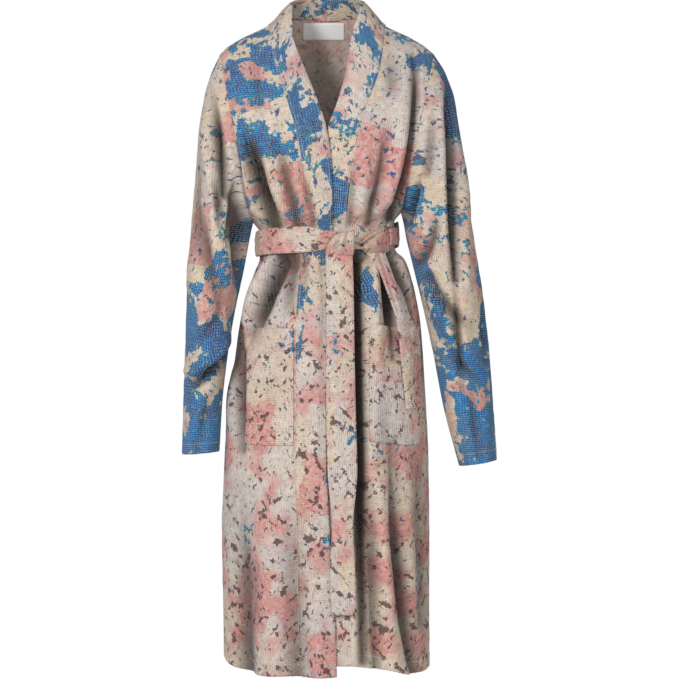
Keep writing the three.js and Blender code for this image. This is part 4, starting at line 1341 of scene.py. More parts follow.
@dataclass
class Belt:
    """The belt: its turn round the waist, the twist, the knot and the two tails."""

    finishes: "Finishes"
    stitches: "Stitches"
    start: float = 18  # the x at which the wrap comes out from behind the knot
    wrap_to: float = 107  # the x at which it ends on the wearer's left
    overlap: float = 0.004
    wrap_columns: int = 240
    wrap_rows: int = 15
    wrap_crown: float = 1.6
    pinch_top: float = 11
    pinch_bottom: float = 5
    pinch_span: tuple[float, float] = (-46, 60)
    half_round: float = 120  # sets the wave's and the creases' length

    WAVE = Ripple(31, 60, 1e6, 1.2)  # the same all the way down the belt's width
    CREASE = Ripple(32, 34, 7, 1.1)
    PLEATS = (
        Fold(-64, 368, -24, 375, 16, 381, 2.6, 0, -2.2, -4),
        Fold(-50, 374, -20, 380, 16, 385, 3.2, 0, 3, 5),
        Fold(-74, 386, -24, 388, 16, 389, 2.6, 0, -2.4, -4),
        Fold(-46, 396, -20, 396, 16, 394, 3, 0, 2.6, 4),
        Fold(-110, 372, -84, 378, -60, 392, 4, 0, -1.6, 0),
    )

    def build_wrap(self) -> Sewn:
        """Makes the turn round the waist, from behind the knot round the back to the left side.

        Returns:
            The wrap and its lines of stitches.
        """
        s = SIZES
        size = {name: float(GIRTH.at(name, s.belt_top)) for name in GIRTH.columns}
        start = math.asin(self.start / size["left"])
        end = math.asin(self.wrap_to / size["left"]) + self.overlap - 2 * HALF_TURN
        angle = np.linspace(start, end, self.wrap_columns)[None, :]
        share = np.linspace(0, 1, self.wrap_rows)[:, None]
        front = np.cos(angle) > 0
        pinch = fade(np.sin(angle) * size["left"], self.pinch_span) * front
        drop = mix(s.belt_top + self.pinch_top * pinch, s.belt_bottom - self.pinch_bottom * pinch, share)
        drop = drop + self.WAVE.at(angle * self.half_round, 0 * angle)
        across = np.arcsin(np.sin(angle)) / QUARTER_TURN
        across, down = np.broadcast_arrays(across, BodyShape.at_drop(drop))
        before, behind = (BodyShape.base(part, across, down) for part in (Part.OVER, Part.BACK))
        point = np.where(front[..., None], before, behind)
        depth = np.where(front, size["front"], size["back"])
        outward = unit(np.stack([np.sin(angle) / size["left"], -np.cos(angle) / depth, 0 * angle], axis=-1))
        crown = self.wrap_crown * (1 - np.abs(2 * share - 1) ** 2.5)
        crease = self.CREASE.at(angle * self.half_round, drop)
        pleats = fold_height(self.PLEATS, point[..., 0], -point[..., 2]) * front
        height = s.belt_clearance + s.belt_cloth + crown + crease * crown / self.wrap_crown + pleats
        points = (point + outward * height[..., None])[:, ::-1]
        flat = flat_places(points, PRINT_AT["robe_belt_wrap"])[..., ::-1]
        wall = Wall(points, grid_normals(points, 1), s.belt_cloth, flat)
        cotton = self.finishes.printed(Cloth.BELT)
        made = wall.build("robe_belt_wrap", cotton, cotton)
        return made, [wall.line(row, slice(1, -1)) for row in (1, -2)]

    def ribbons(self) -> list[Ribbon]:
        """The stretches of belt that show from the front.

        Returns:
            Both tails, the twist and the knot.
        """
        return [
            Ribbon(
                "robe_belt_tail_long", Cut("belt_tail_long", "belt", 0.048, 0.635, "hung"),
                Table(RIBBON_COLUMNS, (
                    (0, -1, 407.3, 45, 407.3, 20, 1),
                    (0.1, 0, 470, 47, 470, 9, 1.5),
                    (0.25, 0, 560, 48, 560, 6, 1.5),
                    (0.41, 0, 666, 50, 666, 6, 1.5),
                    (0.61, 3, 790, 53, 790, 6, 1.5),
                    (0.75, 10, 882, 46, 882, 8, 3),
                    (0.87, 7, 955, 49, 955, 6, 1.5),
                    (1, 10, 1037, 52, 1037, 6, 1),
                )),
                rows=150,
            ),
            Ribbon(
                "robe_belt_tail_short", Cut("belt_tail_short", "belt", 0.045, 0.29, "hung"),
                Table(RIBBON_COLUMNS, (
                    (0, 81, 404, 104, 404, 12, 2),
                    (0.17, 98, 447, 119, 447, 15, 3),
                    (0.31, 112, 486, 133, 486, 16, 4),
                    (0.42, 123, 517, 149, 517, 16, 4),
                    (0.55, 129, 556, 166, 553, 15, 2),
                    (0.76, 135, 612, 168, 608, 14, 2),
                    (1, 142, 680, 169, 676, 12, 1.5),
                )),
                rows=90,
                folds=(
                    Fold(92, 404, 110, 460, 126, 510, 3, -3, -4, -2),
                    Fold(150, 540, 146, 600, 148, 676, 5, 0, 2.5, 2),
                    Fold(128, 548, 146, 556, 168, 550, 3, -2, -3, -2),
                ),
            ),
            Ribbon(
                "robe_belt_twist", Cut("belt_twist", "belt", 0.05, 0.075, "folded"),
                Table(RIBBON_COLUMNS, (
                    (0, 48.5, 398, 48.5, 373, 12, 9),
                    (0.12, 55, 398, 55, 378, 12, 8),
                    (0.24, 62, 398, 62, 385, 11, 6),
                    (0.4, 73, 407, 73, 377, 10, 7),
                    (0.56, 85, 411, 85, 369, 9, 7),
                    (0.72, 95, 411, 95, 363, 9, 6),
                    (0.86, 104, 405, 104, 358, 9, 4),
                    (1, 112, 397, 112, 351, 8, 2),
                )),
                rows=50, columns=27,
                folds=(
                    Fold(49, 387, 55, 389, 63, 391, 2.4, -6, -7, -8),
                    Fold(60, 391, 74, 381, 100, 364, 2.4, -8, -6, -2),
                    Fold(62, 386, 76, 374, 104, 357, 3.2, 3, 4, 2),
                    Fold(66, 394, 82, 394, 104, 386, 5, 2, 4, 1),
                    Fold(64, 398, 80, 405, 100, 401, 2.4, -4, -3, -1),
                ),
            ),
            Ribbon(
                "robe_belt_knot", Cut("belt_knot", "belt", 0.045, 0.07, "folded"),
                Table(RIBBON_COLUMNS, (
                    (0, 22, 378, 46, 370, 101, 1),
                    (0.2, 17, 372, 47, 364, 109, 3),
                    (0.35, 12, 377, 47.5, 368, 117, 5),
                    (0.6, 4, 388, 48, 386, 120, 6),
                    (0.85, 0, 399, 48, 398, 116, 3),
                    (1, -1, 409, 46, 409, 111.6, 1),
                )),
                rows=60, columns=27, hugs=False, printed_from_end=True,
                folds=(
                    Fold(24, 368, 17, 388, 14, 407, 3.2, -2, -5, -2),
                    Fold(38, 366, 34, 388, 32, 407, 3, -2, -4.5, -2),
                    Fold(31, 367, 26, 388, 23, 407, 3.5, 1, 3, 1),
                ),
            ),
        ]

    def build(self) -> None:
        made = [(self.build_wrap(), Cut("belt_wrap", "belt", 0.045, 0.7, "folded"))]
        made += [(ribbon.build(self.finishes), ribbon.cut) for ribbon in self.ribbons()]
        for (piece, lines), cut in made:
            declare(piece, cut, [self.stitches.sew(f"{piece.name}_stitches", lines)])


Value = Union["Wire", float, Sequence[float]]


class Wire:
    """A node's output that takes part in sums as a number does."""

    def __init__(self, nodes: "Nodes", socket: bpy.types.NodeSocket) -> None:
        """Keeps the output and the tree that it is in."""
        self.nodes, self.socket = nodes, socket

    def _math(self, operation: str, *values: Value) -> "Wire":
        """One maths node on these values."""
        return self.nodes.add("ShaderNodeMath", {"operation": operation}, dict(enumerate(values)))

    def __add__(self, other: Value) -> "Wire":
        """Adds."""
        return self._math("ADD", self, other)

    def __sub__(self, other: Value) -> "Wire":
        """Subtracts."""
        return self._math("SUBTRACT", self, other)

    def __rsub__(self, other: Value) -> "Wire":
        """Subtracts this from a number."""
        return self._math("SUBTRACT", other, self)

    def __mul__(self, other: Value) -> "Wire":
        """Multiplies."""
        return self._math("MULTIPLY", self, other)

    def __truediv__(self, other: Value) -> "Wire":
        """Divides."""
        return self._math("DIVIDE", self, other)

    __radd__ = __add__
    __rmul__ = __mul__

    def floor(self) -> "Wire":
        """The whole part."""
        return self._math("FLOOR", self)

    def fraction(self) -> "Wire":
        """The part after the point."""
        return self._math("FRACT", self)

    def size(self) -> "Wire":
        """The value without its sign."""
        return self._math("ABSOLUTE", self)

    def most(self, other: Value) -> "Wire":
        """The larger of two."""
        return self._math("MAXIMUM", self, other)

    def below(self, other: Value) -> "Wire":
        """1 where this is less than the other, else 0."""
        return self._math("LESS_THAN", self, other)

    def rise(self, low: Value, high: Value) -> "Wire":
        """A soft step from 0 at low to 1 at high."""
        values = {"Value": self, "From Min": low, "From Max": high}
        return self.nodes.add("ShaderNodeMapRange", {"interpolation_type": "SMOOTHSTEP"}, values)


class Nodes:
    """A node tree under construction."""

    def __init__(self, tree: bpy.types.NodeTree) -> None:
        """Keeps the tree."""
        self.tree = tree

    def add(
        self, kind: str, settings: dict[str, object], values: dict[Union[int, str], Value],
        output: Union[int, str] = 0,
    ) -> Wire:
        """Adds a node.

        Args:
            kind: The node's type.
            settings: Its properties, set first.
            values: A number, a vector or a wire for each of its inputs, by name or place.
            output: Which output to hand back.

        Returns:
            That output as a wire.
        """
        node = self.tree.nodes.new(kind)
        for name, setting in settings.items():
            setattr(node, name, setting)
        for name, value in values.items():
            if isinstance(value, Wire):
                self.tree.links.new(value.socket, node.inputs[name])
            else:
                node.inputs[name].default_value = value
        return Wire(self, node.outputs[output])

    def vector(self, operation: str, *values: Value) -> Wire:
        """One vector maths node."""
        return self.add("ShaderNodeVectorMath", {"operation": operation}, dict(enumerate(values)))

    def moved(self, vector: Wire, x: float, y: float) -> Wire:
        """A vector moved by fixed distances."""
        return self.vector("ADD", vector, (x, y, 0.0))

    def scaled(self, vector: Wire, by: Value) -> Wire:
        """A vector times a number."""
        return self.add("ShaderNodeVectorMath", {"operation": "SCALE"}, {"Vector": vector, "Scale": by})

    def parts(self, vector: Wire) -> tuple[Wire, Wire, Wire]:
        """A vector's three parts."""
        first = self.add("ShaderNodeSeparateXYZ", {}, {"Vector": vector})
        return tuple(Wire(self, socket) for socket in first.socket.node.outputs)

    def joined(self, x: Value, y: Value, z: Value = 0.0) -> Wire:
        """A vector from its parts."""
        return self.add("ShaderNodeCombineXYZ", {}, {"X": x, "Y": y, "Z": z})

    def blend(self, share: Value, first: Value, second: Value) -> Wire:
        """A colour between two colours."""
        return self.add("ShaderNodeMix", {"data_type": "RGBA"}, {0: share, 6: first, 7: second}, 2)

    def noise(self, place: Wire, size: float, detail: float = 2.0, output: int = 0) -> Wire:
        """Smooth noise from 0 to 1, or in colour, whose swells have the size given."""
        values = {"Vector": place, "Scale": 1.0 / size, "Detail": detail}
        return self.add("ShaderNodeTexNoise", {"noise_dimensions": "2D"}, values, output)

    def chance(self, place: Wire, output: Union[int, str] = "Value") -> Wire:
        """A random value for each place."""
        return self.add("ShaderNodeTexWhiteNoise", {"noise_dimensions": "3D"}, {"Vector": place}, output)


class Tint(Enum):
    """The colours, as six hexadecimal digits."""

    SAND = "DBC8B2"
    MIST = "CFC6C3"
    PEACH = "D6BDA6"
    SHELL = "D9CCC0"
    STAIN = "AD9A88"
    STREAK = "84705F"
    # the shade painted along the grooves of the stitch rows
    PAINTED_GROOVE_SHADE = "6B5A55"
    # the shade painted deep inside folds
    HOLLOW = "1B1716"
    INNER = "CDBDB1"
    ROSE = "CE7A74"
    PALE_ROSE = "DC9C92"
    MAUVE = "D0A2A0"
    COBALT = "1268A6"
    VIOLET = "2C4580"
    CERULEAN = "1B8CAE"
    SEA = "1F8796"
    TEAL = "1F7F8C"
    NAVY = "2C3F7C"
    PLUM = "472D35"
    ROW_THREAD = "DCD6CA"
    SEWING_THREAD = "D6CDBD"
    TAPE = "F7F8F6"

    @property
    def linear(self) -> tuple[float, float, float, float]:
        """The colour in linear shares, opaque."""
        shares = [int(self.value[i:i + 2], 16) / 255 for i in (0, 2, 4)]
        return (*(((v + 0.055) / 1.055) ** 2.4 if v > 0.04045 else v / 12.92 for v in shares), 1.0)


@dataclass(frozen=True)
class Dye:
    """How much of each colour a piece's print takes, near the collar and near the hem."""

    name: str
    blue: float = 0.5
    blue_low: float = 0.14
    pink: float = 0.36
    pink_low: float = 0.5
    plum: float = 0.5
    plum_low: float = 0.98
    teal: float = 0.9
    warmth: float = 0.4
    inner: float = 0.0
    rows: float = 3.7  # from one row of stitch to the next, in millimetres


class Cloth(Enum):
    """The printed cloths."""

    QUILT = Dye("printed quilted cotton", pink=0.46, pink_low=0.66)
    SLEEVE = Dye("printed sleeve cotton", blue=0.54, blue_low=1.12, pink_low=0.4, plum_low=0.5)
    POCKET = Dye("printed pocket cotton", blue=0.1, blue_low=0.16, pink_low=0.46, warmth=0.7, rows=4.2)
    BAND = Dye("printed band cotton", blue=0.6, blue_low=0.12, pink=0.42, teal=1.15)
    BELT = Dye("printed belt cotton", blue=0.0, blue_low=0.0, pink=0.72, plum=0.95, teal=0.45, warmth=0.7)
    INSIDE = Dye("inner cotton", blue=0.0, blue_low=0.0, plum=0.8, teal=0.0, inner=0.55)


@dataclass
class Print:
    """A print under construction: worn areas of colour, torn flecks and rows of running stitch."""

    nodes: Nodes
    dye: Dye
    flat: Wire  # places on the cloth, in millimetres
    upper: Wire  # 1 near the collar and 0 near the hem
    torn: Wire = field(init=False)  # places moved a little at random, which tears edges
    swayed: Wire = field(init=False)  # places moved further, which bends patches
    mottle: Wire = field(init=False)
    ragged: Wire = field(init=False)

    # Each layer of flecks is a stroke's width, its lean, its share of the amount and its seed.
    PLUM_FLECKS = ((5.6, 0.75, 1.0, 1.0), (4.6, -0.55, 1.0, 2.0), (2.6, 0.2, 0.8, 5.0))
    TEAL_FLECKS = ((5.4, 0.3, 1.0, 3.0), (3.4, -0.8, 1.0, 4.0))
    # Each layout of patches is a patch's width, its height and a seed.
    GROUND_PATCHES = (118.0, 171.0, 1.9)
    PINK_PATCHES = (76.0, 104.0, 3.7)
    BLUE_PATCHES = (88.0, 124.0, 8.3)
    DASH = 5.4  # from one stitch of a row to the next
    DASH_SHARE = 0.55

    def __post_init__(self) -> None:
        """Makes the noises that the layers share."""
        self.torn = self.nodes.vector("ADD", self.flat, self._drift(6.0, 3.0, 9.0))
        self.swayed = self.nodes.vector("ADD", self.torn, self._drift(34.0, 1.0, 26.0))
        self.mottle = self.nodes.noise(self.flat, 7.0, 3.0)
        self.ragged = self.nodes.noise(self.nodes.moved(self.flat, 331.0, 77.0), 11.0, 4.0)

    def _drift(self, size: float, detail: float, reach: float) -> Wire:
        """Random shifts of the places, whose swells have the size given."""
        shift = self.nodes.vector("SUBTRACT", self.nodes.noise(self.flat, size, detail, 1), (0.5, 0.5, 0.5))
        return self.nodes.scaled(shift, reach)

    def _amount(self, low: float, high: float) -> Wire:
        """A value that goes from low near the hem to high near the collar."""
        return low + self.upper * (high - low)

    def _patches(self, place: Wire, wide: float, high: float, seed: float) -> tuple[Wire, Wire, Wire]:
        """Random values for a staggered layout of oblong patches.

        Args:
            place: Places on the cloth.
            wide: A patch's width.
            high: A patch's height.
            seed: Tells one layout from another.

        Returns:
            Three random values for each patch.
        """
        x, y, _ = self.nodes.parts(place)
        shelf = (x / wide + seed).floor()
        shift = self.nodes.chance(self.nodes.joined(shelf, seed))
        patch = self.nodes.joined(shelf, (y / high + shift * 5.0).floor(), seed)
        return self.nodes.parts(self.nodes.chance(patch, "Color"))

    def _flecks(self, layers: Sequence[tuple[float, float, float, float]], amount: Value) -> Wire:
        """Short torn strokes in clusters.

        Args:
            layers: A stroke's width, lean, share of the amount and seed for each layer.
            amount: How many show, from 0 to 1.

        Returns:
            1 on a stroke and 0 elsewhere, with soft edges.
        """
        seen = None
        for size, lean, share, seed in layers:
            moved = self.nodes.moved(self.torn, seed * 911.0, seed * 577.0)
            axis = {"Vector": moved, "Axis": (0.0, 0.0, 1.0), "Angle": lean}
            leaning = self.nodes.add("ShaderNodeVectorRotate", {}, axis)
            squeezed = self.nodes.vector("MULTIPLY", leaning, (1.0, 0.46, 1.0))
            cluster = self.nodes.noise(moved, size * 8.0, 2.0).rise(0.34, 0.66)
            limit = 0.8 - cluster * (amount * share) * 0.2
            stroke = self.nodes.noise(squeezed, size * 1.9, 2.0).rise(limit - 0.012, limit + 0.026)
            seen = stroke if seen is None else seen.most(stroke)
        return seen

    @staticmethod
    def _field(patches: Wire, cloud: Wire, ragged: Wire, amount: Value) -> Wire:
        """How far a place lies inside a dyed area: above 0 inside, with torn edges.

        Args:
            patches: A random value for each patch.
            cloud: Wide noise.
            ragged: Small noise, which tears the edges.
            amount: How much is dyed, from 0 to 1.

        Returns:
            The distance inside, about -1 to 1.
        """
        swell = patches * 0.5 + cloud.rise(0.28, 0.72) * 0.5 + (ragged - 0.5) * 0.55
        return swell - (0.98 - amount * 0.62)

    def ground(self) -> tuple[Wire, Wire]:
        """The faded ground in pale patches.

        Returns:
            Its colour, and 1 on the patches whose rows of stitch run upright.
        """
        blend = self.nodes.blend
        cloud = self.nodes.noise(self.torn, 75.0, 2.0)
        first, second, third = self._patches(self.torn, *self.GROUND_PATCHES)
        ground = blend(first.rise(0.48, 0.52) * 0.85, Tint.SAND.linear, Tint.MIST.linear)
        ground = blend(second.below(0.34) * self.dye.warmth, ground, Tint.PEACH.linear)
        ground = blend(cloud.rise(0.42, 0.62) * 0.7, ground, Tint.SHELL.linear)
        return blend(self.mottle.rise(0.48, 0.72) * 0.4, ground, Tint.STAIN.linear), third.below(0.3)

    def pinks(self, base: Wire) -> Wire:
        """Salmon areas: some run out softly and some end in a straight edge.

        Args:
            base: The colour below.

        Returns:
            The colour with them.
        """
        cloud = self.nodes.noise(self.nodes.moved(self.swayed, 90.0, 410.0), 62.0, 2.0)
        first, second, _ = self._patches(self.swayed, *self.PINK_PATCHES)
        amount = self._amount(self.dye.pink_low, self.dye.pink)
        soft = self._field(second * 0.5 + 0.25, cloud, self.ragged * 0.3 + 0.35, amount).rise(-0.16, 0.2)
        crisp = first.below(amount * 0.3) * (0.5 + self.ragged.rise(0.7, 0.4) * 0.5)
        rose = self.nodes.blend(self.mottle.rise(0.35, 0.7), Tint.ROSE.linear, Tint.PALE_ROSE.linear)
        rose = self.nodes.blend(second * 0.4, rose, Tint.MAUVE.linear)
        return self.nodes.blend(soft.most(crisp) * (0.92 - 0.3 * self.mottle.rise(0.5, 0.7)), base, rose)

    def blues(self, base: Wire) -> tuple[Wire, Wire]:
        """Cobalt areas with violet hearts and torn teal edges.

        Args:
            base: The colour below.

        Returns:
            The colour with them, and where they are.
        """
        cloud = self.nodes.noise(self.nodes.moved(self.swayed, 610.0, 190.0), 66.0, 2.0)
        first, second, _ = self._patches(self.swayed, *self.BLUE_PATCHES)
        inside = self._field(first, cloud, self.ragged, self._amount(self.dye.blue_low, self.dye.blue))
        blue = inside.rise(-0.006, 0.012)
        violet = (cloud + second * 0.3 + self.mottle * 0.35).rise(0.86, 1.0)
        deep = self.nodes.blend(violet * 0.6, Tint.COBALT.linear, Tint.VIOLET.linear)
        deep = self.nodes.blend(self.mottle.rise(0.5, 0.66) * 0.75, deep, Tint.CERULEAN.linear)
        deep = self.nodes.blend((1.0 - inside.rise(0.0, 0.1)) * 0.85, deep, Tint.SEA.linear)
        return self.nodes.blend(blue, base, deep), blue

    def strokes(self, base: Wire) -> Wire:
        """Torn flecks of plum, teal and navy.

        Args:
            base: The colour below.

        Returns:
            The colour with them.
        """
        plum = self._flecks(self.PLUM_FLECKS, self._amount(self.dye.plum_low, self.dye.plum))
        base = self.nodes.blend(plum * 0.86, base, Tint.PLUM.linear)
        if self.dye.teal > 0:
            teal = self._flecks(self.TEAL_FLECKS, (0.3 + self.upper * 0.7) * self.dye.teal)
            tone = self.nodes.blend(self.ragged.rise(0.44, 0.56), Tint.TEAL.linear, Tint.NAVY.linear)
            base = self.nodes.blend(teal * 0.9, base, tone)
        return base

    def _rows(self, x: Wire, y: Wire) -> tuple[Wire, Wire]:
        """Rows of running stitch across the cloth.

        Args:
            x: Places along the rows.
            y: Places from row to row.

        Returns:
            How far the cloth swells between rows, and where thread shows, both from 0 to 1.
        """
        down = y / self.dye.rows
        off = (down.fraction() - 0.5).size()
        start = self.nodes.chance(self.nodes.joined(down.floor(), 4.0))
        dash = (x / self.DASH + start).fraction().below(self.DASH_SHARE)
        return 1.0 - off.rise(0.15, 0.5), dash * off.rise(0.32, 0.42)

    def quilting(self, base: Wire, blue: Wire, upright: Wire) -> tuple[Wire, Wire]:
        """The rows of stitch with shade painted along their grooves, the fine streaks of the weave and the
        relief of both.

        Args:
            base: The colour below.
            blue: Where the blue areas are, on which thread shows most.
            upright: 1 where the rows run upright.

        Returns:
            The colour with them, and the relief.
        """
        nodes = self.nodes
        x, y, _ = nodes.parts(self.flat)
        wander = nodes.noise(self.flat, 16.0, 2.0)
        swell, thread = self._rows(x + (y - x) * upright, y + (x - y) * upright + wander * 5.0)
        firmness = wander.rise(0.34, 0.6) * 0.7 + 0.3
        base = nodes.blend(thread * (blue * 0.45 + 0.1), base, Tint.ROW_THREAD.linear)
        # Painted shade where the cloth dips along each row of stitch.
        base = nodes.blend((1.0 - swell) * firmness * 0.26, base, Tint.PAINTED_GROOVE_SHADE.linear)
        streaks = nodes.noise(nodes.vector("MULTIPLY", self.flat, (1.0, 0.22, 1.0)), 2.6, 3.0)
        base = nodes.blend(streaks.rise(0.5, 0.75) * 0.3, base, Tint.STREAK.linear)
        crinkle = nodes.noise(nodes.vector("MULTIPLY", self.torn, (0.5, 1.0, 1.0)), 5.5, 3.0)
        lumps = nodes.noise(self.flat, 13.0, 2.0)
        return base, swell * firmness * 0.4 + crinkle * 0.8 + lumps * 1.5 + streaks * 0.2 + thread * 0.1


class Finishes:
    """The robe's materials, each made once."""

    CLOTH_ROUGHNESS = 0.92
    CLOTH_SHEEN = 0.12
    EVERYWHERE = {"Sheen Roughness": 0.5, "Specular IOR Level": 0.2}
    UPPER_FROM, UPPER_TO = -0.62, -0.36  # the heights between which the print changes
    # how dark the painted shade gets at the bottom of a deep fold
    HOLLOW_SHADE = 0.93

    def __init__(self) -> None:
        """Starts with none."""
        self.made: dict[str, Material] = {}

    def _start(self, name: str, roughness: float, sheen: float) -> tuple[Material, Nodes, bpy.types.Node]:
        """A new material with its uniform values set.

        Args:
            name: The material's name.
            roughness: How matt it is.
            sheen: How much its fibres shine.

        Returns:
            The material, its tree and its shader.
        """
        material = bpy.data.materials.new(name)
        material.use_nodes = True
        shader = material.node_tree.nodes["Principled BSDF"]
        uniform = {"Roughness": roughness, "Sheen Weight": sheen, **self.EVERYWHERE}
        for socket, value in uniform.items():
            shader.inputs[socket].default_value = value
        self.made[name] = material
        return material, Nodes(material.node_tree), shader

    @staticmethod
    def _flat(nodes: Nodes) -> Wire:
        """Places on the flat cloth, in millimetres."""
        return nodes.scaled(nodes.add("ShaderNodeUVMap", {"uv_map": "cloth"}, {}), 1000.0)

    @staticmethod
    def _bump(nodes: Nodes, shader: bpy.types.Node, strength: float, distance: float, relief: Wire) -> None:
        """Gives the shader a relief."""
        bump = nodes.add("ShaderNodeBump", {}, {"Strength": strength, "Distance": distance, "Height": relief})
        nodes.tree.links.new(bump.socket, shader.inputs["Normal"])

    def printed(self, cloth: Cloth) -> Material:
        """A printed, quilted cotton.

        Args:
            cloth: Which one.

        Returns:
            The material.
        """
        dye = cloth.value
        if dye.name in self.made:
            return self.made[dye.name]
        material, nodes, shader = self._start(dye.name, self.CLOTH_ROUGHNESS, self.CLOTH_SHEEN)
        _, _, height = nodes.parts(nodes.add("ShaderNodeTexCoord", {}, {}, "Object"))
        made = Print(nodes, dye, self._flat(nodes), height.rise(self.UPPER_FROM, self.UPPER_TO))
        ground, upright = made.ground()
        base, blue = made.blues(made.pinks(ground))
        base = nodes.blend(dye.inner, made.strokes(base), Tint.INNER.linear)
        # Shade painted into the colour inside the folds, by their depth.
        depth = nodes.add("ShaderNodeAttribute", {"attribute_name": "hollow"}, {}, "Fac")
        base = nodes.blend(depth * self.HOLLOW_SHADE, base, Tint.HOLLOW.linear)
        base, relief = made.quilting(base, blue, upright)
        nodes.tree.links.new(base.socket, shader.inputs["Base Color"])
        self._bump(nodes, shader, 1.0, 0.0016, relief)
        return material

    def label(self) -> Material:
        """The bare label: a smooth pale tape with a fine weave.

        Returns:
            The material.
        """
        material, nodes, shader = self._start("label tape", 0.6, 0.0)
        shader.inputs["Base Color"].default_value = Tint.TAPE.linear
        x, y, _ = nodes.parts(self._flat(nodes))
        weave = (x / 0.5).fraction().rise(0.0, 1.0) + (y / 0.5).fraction().rise(0.0, 1.0)
        self._bump(nodes, shader, 0.5, 0.0002, weave)
        return material

    def thread(self) -> Material:
        """Sewing thread.

        Returns:
            The material.
        """
        material, _, shader = self._start("sewing thread", 0.7, 0.1)
        shader.inputs["Base Color"].default_value = Tint.SEWING_THREAD.linear
        return material


class Stitches:
    """Rows of sewing thread laid along lines by a node tree."""

    INPUTS = {"Pitch": 0.0038, "Length": 0.0027, "Radius": 0.00042, "Unevenness": 0.25}
    SEED = 7

    def __init__(self, thread: Material) -> None:
        """Builds the node tree.

        Args:
            thread: The stitches' material.
        """
        self.tree = bpy.data.node_groups.new("stitches", "GeometryNodeTree")
        self.thread = thread
        self.sockets: dict[str, str] = {}
        sockets = self.tree.interface
        sockets.new_socket("Lines", in_out="INPUT", socket_type="NodeSocketGeometry")
        for name in self.INPUTS:
            socket = sockets.new_socket(name, in_out="INPUT", socket_type="NodeSocketFloat")
            self.sockets[name] = socket.identifier
        sockets.new_socket("Stitches", in_out="OUTPUT", socket_type="NodeSocketGeometry")
        self._wire()

    def _wire(self) -> None:
        """Adds the tree's nodes: points along each line, a stitch on each, turned along the line."""
        nodes = Nodes(self.tree)
        group = self.tree.nodes.new("NodeGroupInput")
        inputs = {socket.name: Wire(nodes, socket) for socket in group.outputs}
        lines = nodes.add("GeometryNodeMeshToCurve", {}, {"Mesh": inputs["Lines"]})
        spaced = {"Curve": lines, "Length": inputs["Pitch"]}
        points = nodes.add("GeometryNodeResampleCurve", {"mode": "LENGTH"}, spaced)
        ball = nodes.add("GeometryNodeMeshIcoSphere", {}, {"Radius": 1.0, "Subdivisions": 1})
        stretch = nodes.joined(inputs["Length"] * 0.5, inputs["Radius"], inputs["Radius"])
        stitch = nodes.add("GeometryNodeTransform", {}, {"Geometry": ball, "Scale": stretch})
        up = nodes.add("GeometryNodeInputNamedAttribute", {"data_type": "FLOAT_VECTOR"}, {"Name": "up"})
        tangent = nodes.add("GeometryNodeInputTangent", {}, {})
        standing = nodes.add("FunctionNodeAlignRotationToVector", {"axis": "Z"}, {"Vector": up})
        turned = {"Rotation": standing, "Vector": tangent}
        turn = nodes.add("FunctionNodeAlignRotationToVector", {"axis": "X", "pivot_axis": "Z"}, turned)
        # The plain number's limits are this node's third and fourth inputs, and its value the second output.
        limits = {2: 1.0 - inputs["Unevenness"], 3: 1.0 + inputs["Unevenness"], "Seed": self.SEED}
        size = nodes.add("FunctionNodeRandomValue", {"data_type": "FLOAT"}, limits, 1)
        placed = {"Points": points, "Instance": stitch, "Rotation": turn, "Scale": size}
        laid = nodes.add("GeometryNodeInstanceOnPoints", {}, placed)
        real = nodes.add("GeometryNodeRealizeInstances", {}, {"Geometry": laid})
        dressed = nodes.add("GeometryNodeSetMaterial", {}, {"Geometry": real, "Material": self.thread})
        self.tree.links.new(dressed.socket, self.tree.nodes.new("NodeGroupOutput").inputs[0])

    def sew(self, name: str, lines: Lines) -> Object:
        """Lays stitches along lines.

        Args:
            name: The object's name.
            lines: For each line, its points and the directions square to the cloth, in millimetres.

        Returns:
            The stitches as one mesh object at the origin.
        """
        points = np.concatenate([line for line, _ in lines])
        normals = np.concatenate([up for _, up in lines])
        edges, first = [], 0
        for line, _ in lines:
            edges += [(first + i, first + i + 1) for i in range(len(line) - 1)]
            first += len(line)
        mesh = bpy.data.meshes.new(name)
        mesh.from_pydata((points * MM).tolist(), edges, [])
        up = np.ascontiguousarray(normals, dtype=np.float32).ravel()
        mesh.attributes.new("up", "FLOAT_VECTOR", "POINT").data.foreach_set("vector", up)
        made = bpy.data.objects.new(name, mesh)
        bpy.context.scene.collection.objects.link(made)
        modifier = made.modifiers.new("stitches", "NODES")
        modifier.node_group = self.tree
        for socket, value in self.INPUTS.items():
            modifier[self.sockets[socket]] = value
        evaluated = made.evaluated_get(bpy.context.evaluated_depsgraph_get())
        real = bpy.data.meshes.new_from_object(evaluated)
        made.modifiers.remove(modifier)
        made.data = real
        real.name = name
        real.polygons.foreach_set("use_smooth", np.ones(len(real.polygons), dtype=bool))
        return made


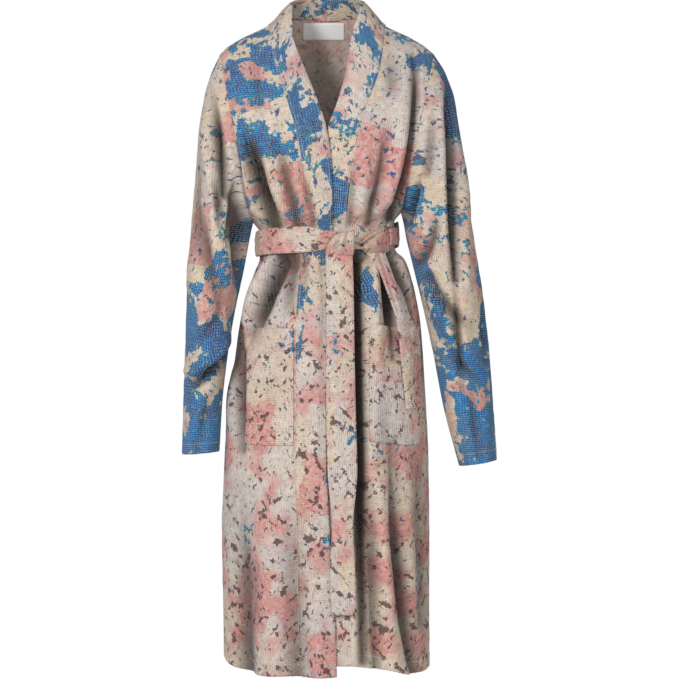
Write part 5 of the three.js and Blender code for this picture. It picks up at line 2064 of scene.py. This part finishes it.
@dataclass(frozen=True)
class Studio:
    """The camera, lights and floor."""

    distance: float = 4.5
    frame_width: float = 1.224
    centre_x: float = 0.0234
    centre_z: float = -0.558
    sensor: float = 36.0
    floor_drop: float = 1.5
    ambient: float = 0.3
    floor_half: float = 2.0
    floor_white: float = 0.9

    # Each light is its name, its place, its width and its power in watts.
    LIGHTS = (
        ("key", (-1.8, -3.2, 0.9), 0.9, 88),
        ("fill", (1.9, -3.3, -0.2), 1.6, 28),
        ("front", (0.05, -4.3, -0.1), 0.7, 18),
    )

    def add_camera(self) -> None:
        """A level camera in front of the robe, far away."""
        data = bpy.data.cameras.new("camera")
        data.sensor_width = self.sensor
        data.lens = self.sensor * self.distance / self.frame_width
        camera = bpy.data.objects.new("camera", data)
        camera.location = (self.centre_x, -self.distance, self.centre_z)
        camera.rotation_euler = (QUARTER_TURN, 0, 0)
        bpy.context.scene.collection.objects.link(camera)
        bpy.context.scene.camera = camera

    def add_light(self, name: str, place: Vector, size: float, power: float) -> None:
        """Adds one soft light that points at the robe.

        Args:
            name: The light's name.
            place: Where it is.
            size: Its width and height.
            power: In watts.
        """
        data = bpy.data.lights.new(name, "AREA")
        data.size, data.energy = size, power
        light = bpy.data.objects.new(name, data)
        light.location = place
        light.rotation_euler = (Vector((0, 0, self.centre_z)) - place).to_track_quat("-Z", "Y").to_euler()
        bpy.context.scene.collection.objects.link(light)

    def add_floor(self) -> None:
        """A plain pale floor."""
        signs = ((-1, -1), (1, -1), (1, 1), (-1, 1))
        corners = [(self.floor_half * x, self.floor_half * y, -self.floor_drop) for x, y in signs]
        mesh = bpy.data.meshes.new("floor")
        mesh.from_pydata(corners, [], [(0, 1, 2, 3)])
        floor = bpy.data.objects.new("floor", mesh)
        material = bpy.data.materials.new("floor")
        material.use_nodes = True
        shader = material.node_tree.nodes["Principled BSDF"]
        shader.inputs["Base Color"].default_value = (*[self.floor_white] * 3, 1)
        mesh.materials.append(material)
        bpy.context.scene.collection.objects.link(floor)

    def build(self) -> None:
        """Makes the camera, the lights, the floor and the white surroundings."""
        self.add_camera()
        for name, place, size, power in self.LIGHTS:
            self.add_light(name, Vector(place), size, power)
        world = bpy.data.worlds.new("white")
        world.use_nodes = True
        nodes = Nodes(world.node_tree)
        seen = nodes.add("ShaderNodeLightPath", {}, {}, "Is Camera Ray")
        strength = seen.most(self.ambient)
        background = world.node_tree.nodes["Background"]
        background.inputs["Color"].default_value = (1, 1, 1, 1)
        world.node_tree.links.new(strength.socket, background.inputs["Strength"])
        bpy.context.scene.world = world
        bpy.context.scene.view_settings.view_transform = "Standard"
        self.add_floor()


def main() -> None:
    """Builds the robe and its studio."""
    logging.basicConfig(level=logging.INFO, format="%(name)s: %(message)s")
    Studio().build()
    finishes = Finishes()
    stitches = Stitches(finishes.thread())
    Body(finishes, stitches).build()
    for side in Side:
        Sleeve(finishes, stitches, side).build()
    Belt(finishes, stitches).build()


if __name__ == "__main__":
    main()
